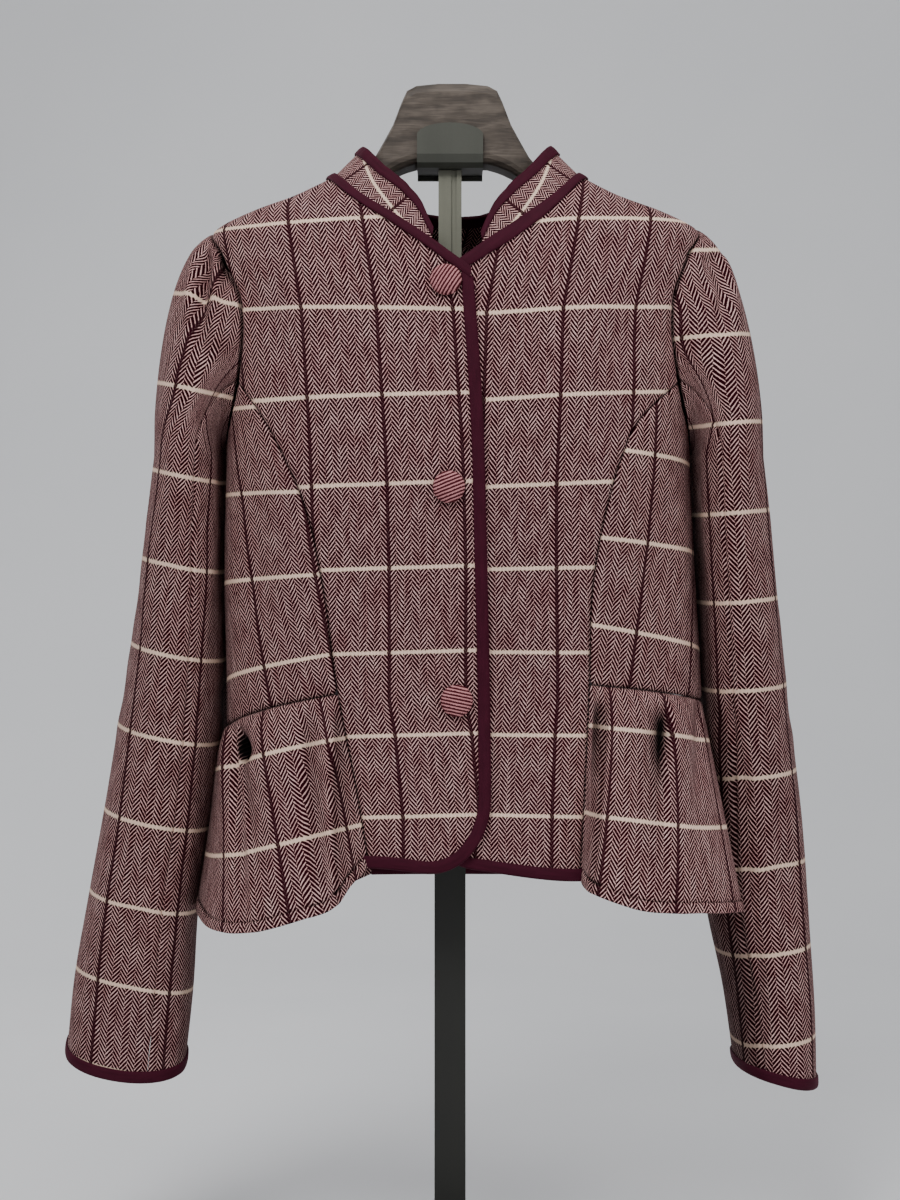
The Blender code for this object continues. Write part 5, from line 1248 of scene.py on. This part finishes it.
def folded(edge, inside, facing, insideFacing, width):     # sections of a tape folded over a cloth edge
    gap, thick = binding["gap"], binding["thick"]
    far, cloth, lip = gap + thick, clothThick, binding["lip"]
    over = [(width, gap), (width - 0.1 * lip, gap + 0.6 * thick), (width - lip, far),
            (0.62 * width, far + 0.0002), (0.3 * width, far + 0.0002), (0.08 * width, far),
            (-0.0006, far - 0.0004), (-0.0014, -0.0001)]
    under = [(a, -cloth - n) for a, n in over[::-1]]
    hollow = [(width - 0.0002, -cloth - 0.6 * gap), (0.0, -cloth - 0.6 * gap), (-0.0004, -0.5 * cloth),
              (0.0, 0.6 * gap), (width - 0.0002, 0.6 * gap)]
    outline = np.array(over + [(-0.0016, -0.5 * cloth)] + under + hollow)
    away = unit(edge - inside)
    share = np.clip(outline[:, 0] / width, 0, 1)[None, :, None]
    past = np.clip(-outline[:, 0], 0, None)[None, :, None]
    normal = unit(facing[:, None] * (1 - share) + insideFacing[:, None] * share)
    flat = edge[:, None] * (1 - share) + inside[:, None] * share + away[:, None] * past
    sections = flat + normal * outline[None, :, 1:]
    across = np.concatenate([[0], np.cumsum(np.linalg.norm(np.diff(outline, axis=0), axis=1))])
    return sections, across, normal, outline


def ruched(sections, normal, outline, length, gathers, seed):     # small uneven gathers across a tape
    amount, spacing = gathers
    wave = amount * wander(length / spacing, seed, (1.0, 1.7, 3.1))
    outside = np.sign(outline[:, 1] + clothThick / 2)
    return sections + normal * wave[:, None, None] * outside[None, :, None]


def bodyPlace(points):     # points moved onto the jacket at their own heights
    x, y, z = points.T
    angle = np.arctan2((x - body["centre"]) / halfWidth(x < body["centre"], z), -y / halfDepth(y < 0, z))
    return angle, z


# a tape folded over an edge; its own edge lies on the line inside
def bind(name, node, edge, inside, normals, kind="edge", length=None, seed=None, closed=False):
    sections, across, normal, outline = folded(edge, inside, *normals, binding["widths"][kind])
    length = lengthsAlong(edge[:, None])[:, 0] if length is None else length
    if seed is not None:
        sections = ruched(sections, normal, outline, length, binding["gathers"][kind], seed)
    made = strip(name, node, sections, length, across, closed)


def makeFrontBindings(grids):
    end = seams["pitZ"] - binding["pitDrop"]
    for side, word in sides.items():
        grid, pitRow = grids[side]
        surface = frontSurface(side)
        path = np.concatenate([grid[0, ::-1], grid[1:pitRow, 0]])
        path = path[path[:, 1] < end]
        path = np.concatenate([path, pairs(angleAtOffset(edgeOffset(side, end), end), end)[None]])
        path[0] += binding["frontTail"] * (path[0] - path[1])     # goes in behind the peplum
        edge = surface(path[:, 0], path[:, 1])
        facing = normalsOf(surface, path[:, 0], path[:, 1])
        inward = unit(np.cross(facing, np.gradient(edge, axis=0))) * -side
        inside = edge + inward * binding["widths"]["edge"]
        slant = ease((edge[:, 2] - (end - binding["pitSlant"])) / binding["pitSlant"])
        inside[:, 2] += binding["pitRise"] * slant
        angle = angleAtOffset(inside[:, 0] - body["centre"], inside[:, 2])
        inside = surface(angle, inside[:, 2])
        insideFacing = normalsOf(surface, angle, inside[:, 2])
        bind(f"edgeTape_{word}", f"edge_binding_{word}", edge, inside, (facing, insideFacing),
             seed=3 + side)


def makeBackBindings():
    for side, word in sides.items():
        grid = backGrid(side)
        angle, height = grid[0, :, 0], grid[0, :, 1]
        angle[-1] += binding["backTail"] * (angle[-1] - angle[-2])     # meets the peplum
        edge, inside = torso(angle, height), torso(angle, height + binding["widths"]["edge"])
        facing = normalsOf(torso, angle, height)
        bind(f"backHemTape_{word}", f"back_hem_binding_{word}", edge, inside, (facing, facing))


def makeCuffBindings(cuffEdges):
    for side, word in sides.items():
        surface, turn = cuffEdges[side]
        span = sleeves[side]["height"][-1] - sleeves[side]["height"][0]
        share = (1 - sleeveShape["capShare"]) * binding["widths"]["edge"] / span
        edge, inside = surface(turn, 1.0), surface(turn, 1 - share)
        facing = side * normalsOf(surface, turn, np.full_like(turn, 1.0))
        bind(f"cuffTape_{word}", f"cuff_binding_{word}", edge, inside, (facing, facing),
             closed=True)


def makeCollar():
    surface, total = collarSurface()
    loop, outward = neckLoop()
    place, up = np.linspace(0, 1, collar["columns"]), np.linspace(0, 1, collar["rows"])
    a, b = np.meshgrid(place, up)
    points = surface(a, b)
    facing = -normalsOf(surface, a, b, collar["normalStep"])
    seat = collar["start"] + (total - 2 * collar["start"]) * place
    low = ease(1 - b / collar["seated"])[..., None]
    facing = unit(facing * (1 - low) + unit(along(outward, seat, loop))[None] * low)
    height = lengthsAlong(points, 0)
    length = lengthsAlong(points, 1)[0]
    fromEnd = np.minimum(length, length[-1] - length)
    slant = collar["slant"] * collar["slantFade"] * np.tanh(fromEnd / collar["slantFade"])
    u = fromEnd - collar["stripeFrom"] + collar["slant"] * (height - collar["slantLow"])
    uv = np.stack([u, height - slant + collar["slant"] * collar["lineFrom"]], axis=-1)
    made = shell("collarPiece", points, points - facing * clothThick, uv, "tweed")
    asCloth("collar", areaOf(points))
    heights = curve(1 - np.abs(1 - 2 * place), collar["share"], collar["height"])
    lowUp = 1 - np.clip(binding["widths"]["collar"] / heights, 0, collar["tapeShare"])
    edge, inside = surface(place, 1.0), surface(place, lowUp)
    insideFacing = -normalsOf(surface, place, lowUp, collar["normalStep"])
    bind("collarTape", "collar_binding", edge, inside, (facing[-1], insideFacing),
         "collar", length, 5.0)


def makeNeckTape():
    width, mitreLength = binding["widths"]["neck"], binding["mitreLength"]
    seam, facing = neckLoop()
    tangent = unit(np.gradient(seam, axis=0))
    downward = unit(np.cross(facing, tangent))
    length = lengthsAlong(seam[:, None])[:, 0]
    # both ends follow the front edge
    mitre = ease(1 - (length[-1] - length) / mitreLength) - ease(1 - length / mitreLength)
    lean = tangent * (binding["mitre"] * width * mitre)[:, None]
    angle, z = bodyPlace(seam + downward * width + lean)
    below, lowFacing = torso(angle, z), normalsOf(torso, angle, z)
    leftFront = np.arange(len(seam)) >= len(seam) - panelSteps["frontTop"] * collar["neckParts"] - 1
    below[leftFront] = frontSurface(1)(angle[leftFront], z[leftFront])
    above = seam - downward * binding["neckOver"]
    gap, thick = binding["neckGap"], binding["thick"] + binding["neckThick"]
    # shares of the width and the thickness
    outline = np.array([(0.0, 0.2), (0.02, 0.75), (0.10, 1.0), (0.3, 1.12), (0.6, 1.12), (0.88, 1.0),
                        (0.97, 0.7), (1.0, 0.2), (0.97, 0.0), (0.03, 0.0)])
    share = outline[None, :, :1]
    normal = unit(facing[:, None] * (1 - share) + lowFacing[:, None] * share)
    flat = above[:, None] * (1 - share) + below[:, None] * share
    sections = flat + normal * (gap + thick * outline[None, :, 1:])
    amount, spacing = binding["gathers"]["neck"]
    wave = amount * wander(length / spacing, 2.0)
    sections = sections + normal * (wave[:, None, None] * (outline[None, :, 1:] > 0.5))
    made = strip("neckTape", "neck_binding", sections, length, outline[:, 0] * width)


# buttons

buttons = {"radius": 0.0115, "height": 0.0062, "lift": 0.0020, "rim": 0.0018, "under": 0.0110,
           "shank": 0.0035, "seat": 0.0006,
           "places": [(-0.0030, 0.7310), (-0.0008, 0.5830), (0.0048, 0.4305)], "turns": [-58, -22, 12]}


def makeButtons():
    b = buttons
    arc = np.linspace(0, quarter, 14)
    crown, low = b["height"] - b["rim"], b["lift"] + b["rim"]
    profile = [(b["radius"] * math.sin(t), low + crown * math.cos(t)) for t in arc]
    profile += [(b["radius"] * 0.995, b["lift"] + 0.4 * b["rim"]), (b["under"], b["lift"])]
    profile += [(b["shank"], b["lift"] + 0.0002), (b["shank"], b["seat"]), (0.0, b["seat"])]
    profile = np.array(profile)
    turns = np.linspace(0, 2 * math.pi, 65)[:-1]
    for number, ((x, z), spin) in enumerate(zip(b["places"], b["turns"]), start=1):
        angle = angleAtOffset(x - body["centre"], z)
        place = torso(angle, z)
        facing = normalsOf(torso, np.array([angle]), np.array([z]))[0]
        across = unit(np.cross(np.array([0, 0, 1.0]), facing))
        upward = np.cross(facing, across)
        ring = np.stack([np.cos(turns), np.sin(turns)], axis=-1)
        flat = profile[:, None, :1] * ring[None]
        points = place + flat[..., :1] * across + flat[..., 1:] * upward + profile[:, None, 1:] * facing
        faces = quadsOf(len(profile), len(turns), 0, True)
        angleUv = math.radians(spin)
        u = flat[..., 0] * math.cos(angleUv) - flat[..., 1] * math.sin(angleUv)
        v = flat[..., 0] * math.sin(angleUv) + flat[..., 1] * math.cos(angleUv)
        uv = np.stack([u, v], axis=-1).reshape(-1, 2)
        made = addMesh(f"coveredButton_{number}", points.reshape(-1, 3), faces, uv,
                       [finishes["buttonTweed"]], np.zeros(len(faces), int), 60)
        turnOut(made)
        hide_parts(f"button_{number}")


# the stand

def woodFinish():
    finish = Finish("stained wood", Specular_IOR_Level=0.35)
    place = finish.node("ShaderNodeTexCoord", None, None, 3)
    bend = finish.noise(place, 14.0, 2.0)
    long = finish.scaled(place, (40.0, 90.0, 420.0))
    grain = finish.node("ShaderNodeTexNoise", None,
                        {"Vector": long, "Scale": 1.0, "Detail": 7.0, "Distortion": 1.4})
    rings = finish.node("ShaderNodeTexWave", {"bands_direction": "Z"},
                        {"Vector": place, "Scale": 22.0, "Distortion": 9.0, "Detail": 3.0,
                         "Detail Scale": 1.4})
    tone = (grain * 0.75 + rings * 0.22 + bend * 0.25 - 0.12).clamped()
    stops = [(0.2, rgb(48, 41, 36)[:3]), (0.5, rgb(80, 71, 63)[:3]), (0.8, rgb(106, 96, 87)[:3])]
    colour = finish.node("ShaderNodeValToRGB", {"stops": stops}, {0: tone})
    return finish.done(colour, 0.48 + grain * 0.25, grain + rings * 0.3, (0.25, 0.0006))


def metalFinish(name, base, raised, metallic, roughness, streak):
    finish = Finish(name, Metallic=metallic)
    place = finish.node("ShaderNodeTexCoord", None, None, 3)
    drawn = finish.noise(finish.scaled(place, streak), 60.0, 3.0)
    spots = finish.noise(place, 900.0, 2.0)
    dust = finish.noise(place, 25.0, 3.0)
    colour = finish.mix((drawn * 0.6 + dust * 0.5 + spots * 0.2 - 0.15).clamped(), base, raised)
    return finish.done(colour, roughness + drawn * 0.12 + dust * 0.1, spots * 0.5 + drawn * 0.5,
                       (0.08, 0.0003))


def dress(node, material, bevel=0.0):
    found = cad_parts[node]
    found.data.materials.clear()
    found.data.materials.append(material)
    if bevel:
        softened = found.modifiers.new("softened edges", "BEVEL")
        softened.width, softened.segments, softened.limit_method = bevel, 3, "ANGLE"
        softened.angle_limit = math.radians(30)


def makeStand():
    drawn = (1.0, 1.0, 0.03)     # streaks run upright
    bracket = metalFinish("bracket metal", rgb(58, 59, 53), rgb(83, 84, 76), 0.35, 0.42, (1.0, 1.0, 0.06))
    rod = metalFinish("rod metal", rgb(104, 104, 91), rgb(146, 146, 131), 0.35, 0.40, drawn)
    tube = metalFinish("black tube", rgb(26, 26, 24), rgb(46, 46, 42), 0.3, 0.45, drawn)
    dress("hanger", woodFinish())
    dress("bracket", bracket, 0.0006)
    dress("rod", rod, 0.0004)
    dress("post", tube, 0.0008)
    dress("base", tube)


# camera, light and floor

view = {"place": (0.0, -1.7, 0.5025), "tall": 0.9, "away": 1.7, "lightsMeet": (0, 0, 0.5)}
stage = {"air": (0.86, 0.88, 0.92, 1), "airStrength": 0.29,
         "paper": (0.80, 0.81, 0.83, 1), "palerPaper": (0.86, 0.86, 0.87, 1),
         "near": -4.0, "bendFrom": 1.4, "bend": 1.0, "tall": 4.0, "half": 5.0}
lights = [
    {"name": "key", "place": (-0.75, -2.1, 2.4), "size": 1.2, "power": 44},
    {"name": "fill", "place": (1.9, -1.7, 1.4), "size": 1.6, "power": 16},
    {"name": "top", "place": (0.2, -0.5, 2.6), "size": 1.6, "power": 22},
    {"name": "rear", "place": (-1.6, 1.2, 1.5), "size": 1.4, "power": 12},
]


def makeStage():
    cam = bpy.data.cameras.new("camera")
    cam.sensor_fit = "VERTICAL"
    cam.sensor_height = 24.0
    cam.lens = cam.sensor_height * view["away"] / view["tall"]
    camera = bpy.data.objects.new("camera", cam)
    camera.location = view["place"]
    camera.rotation_euler = (quarter, 0, 0)
    bpy.context.scene.collection.objects.link(camera)
    bpy.context.scene.camera = camera
    for light in lights:
        lamp = bpy.data.lights.new(light["name"], "AREA")
        lamp.shape, lamp.size, lamp.energy = "DISK", light["size"], light["power"]
        made = bpy.data.objects.new(light["name"], lamp)
        made.location = light["place"]
        aim = Vector(view["lightsMeet"]) - made.location
        made.rotation_euler = aim.to_track_quat("-Z", "Y").to_euler()
        bpy.context.scene.collection.objects.link(made)
    world = bpy.data.worlds.new("studio")
    world.use_nodes = True
    air = world.node_tree.nodes["Background"]
    air.inputs["Color"].default_value = stage["air"]
    air.inputs["Strength"].default_value = stage["airStrength"]
    bpy.context.scene.world = world
    paper = Finish("pale paper", Specular_IOR_Level=0.2)
    where = paper.node("ShaderNodeTexCoord", None, None, 3)
    speck = paper.noise(where, 4.0, 2.0)
    sheet = paper.done(paper.mix(speck, stage["paper"], stage["palerPaper"]), 0.9 + speck * 0.08)
    start, bend = stage["bendFrom"], stage["bend"]
    turned = [(start + bend * math.sin(t), bend * (1 - math.cos(t))) for t in np.linspace(0, quarter, 17)]
    side = [(stage["near"], 0.0)] + turned + [(start + bend, stage["tall"])]
    points = [(x, y, z) for y, z in side for x in (-stage["half"], stage["half"])]
    faces = [(2 * i, 2 * i + 1, 2 * i + 3, 2 * i + 2) for i in range(len(side) - 1)]
    mesh = bpy.data.meshes.new("floor")
    mesh.from_pydata(points, [], faces)
    mesh.materials.append(sheet)
    mesh.shade_smooth()
    floor = bpy.data.objects.new("floor", mesh)
    bpy.context.scene.collection.objects.link(floor)


frontGrids = makeFronts()
makeSides()
makeBacks()
print("body panels made")
makePeplums()
print("peplums made")
cuffEdges = makeSleeves()
print("sleeves made")
makeCollar()
makeNeckTape()
makeFrontBindings(frontGrids)
makeBackBindings()
makeCuffBindings(cuffEdges)
makeButtons()
print("collar, bindings and buttons made")
makeStand()
makeStage()
print("stand and stage made")
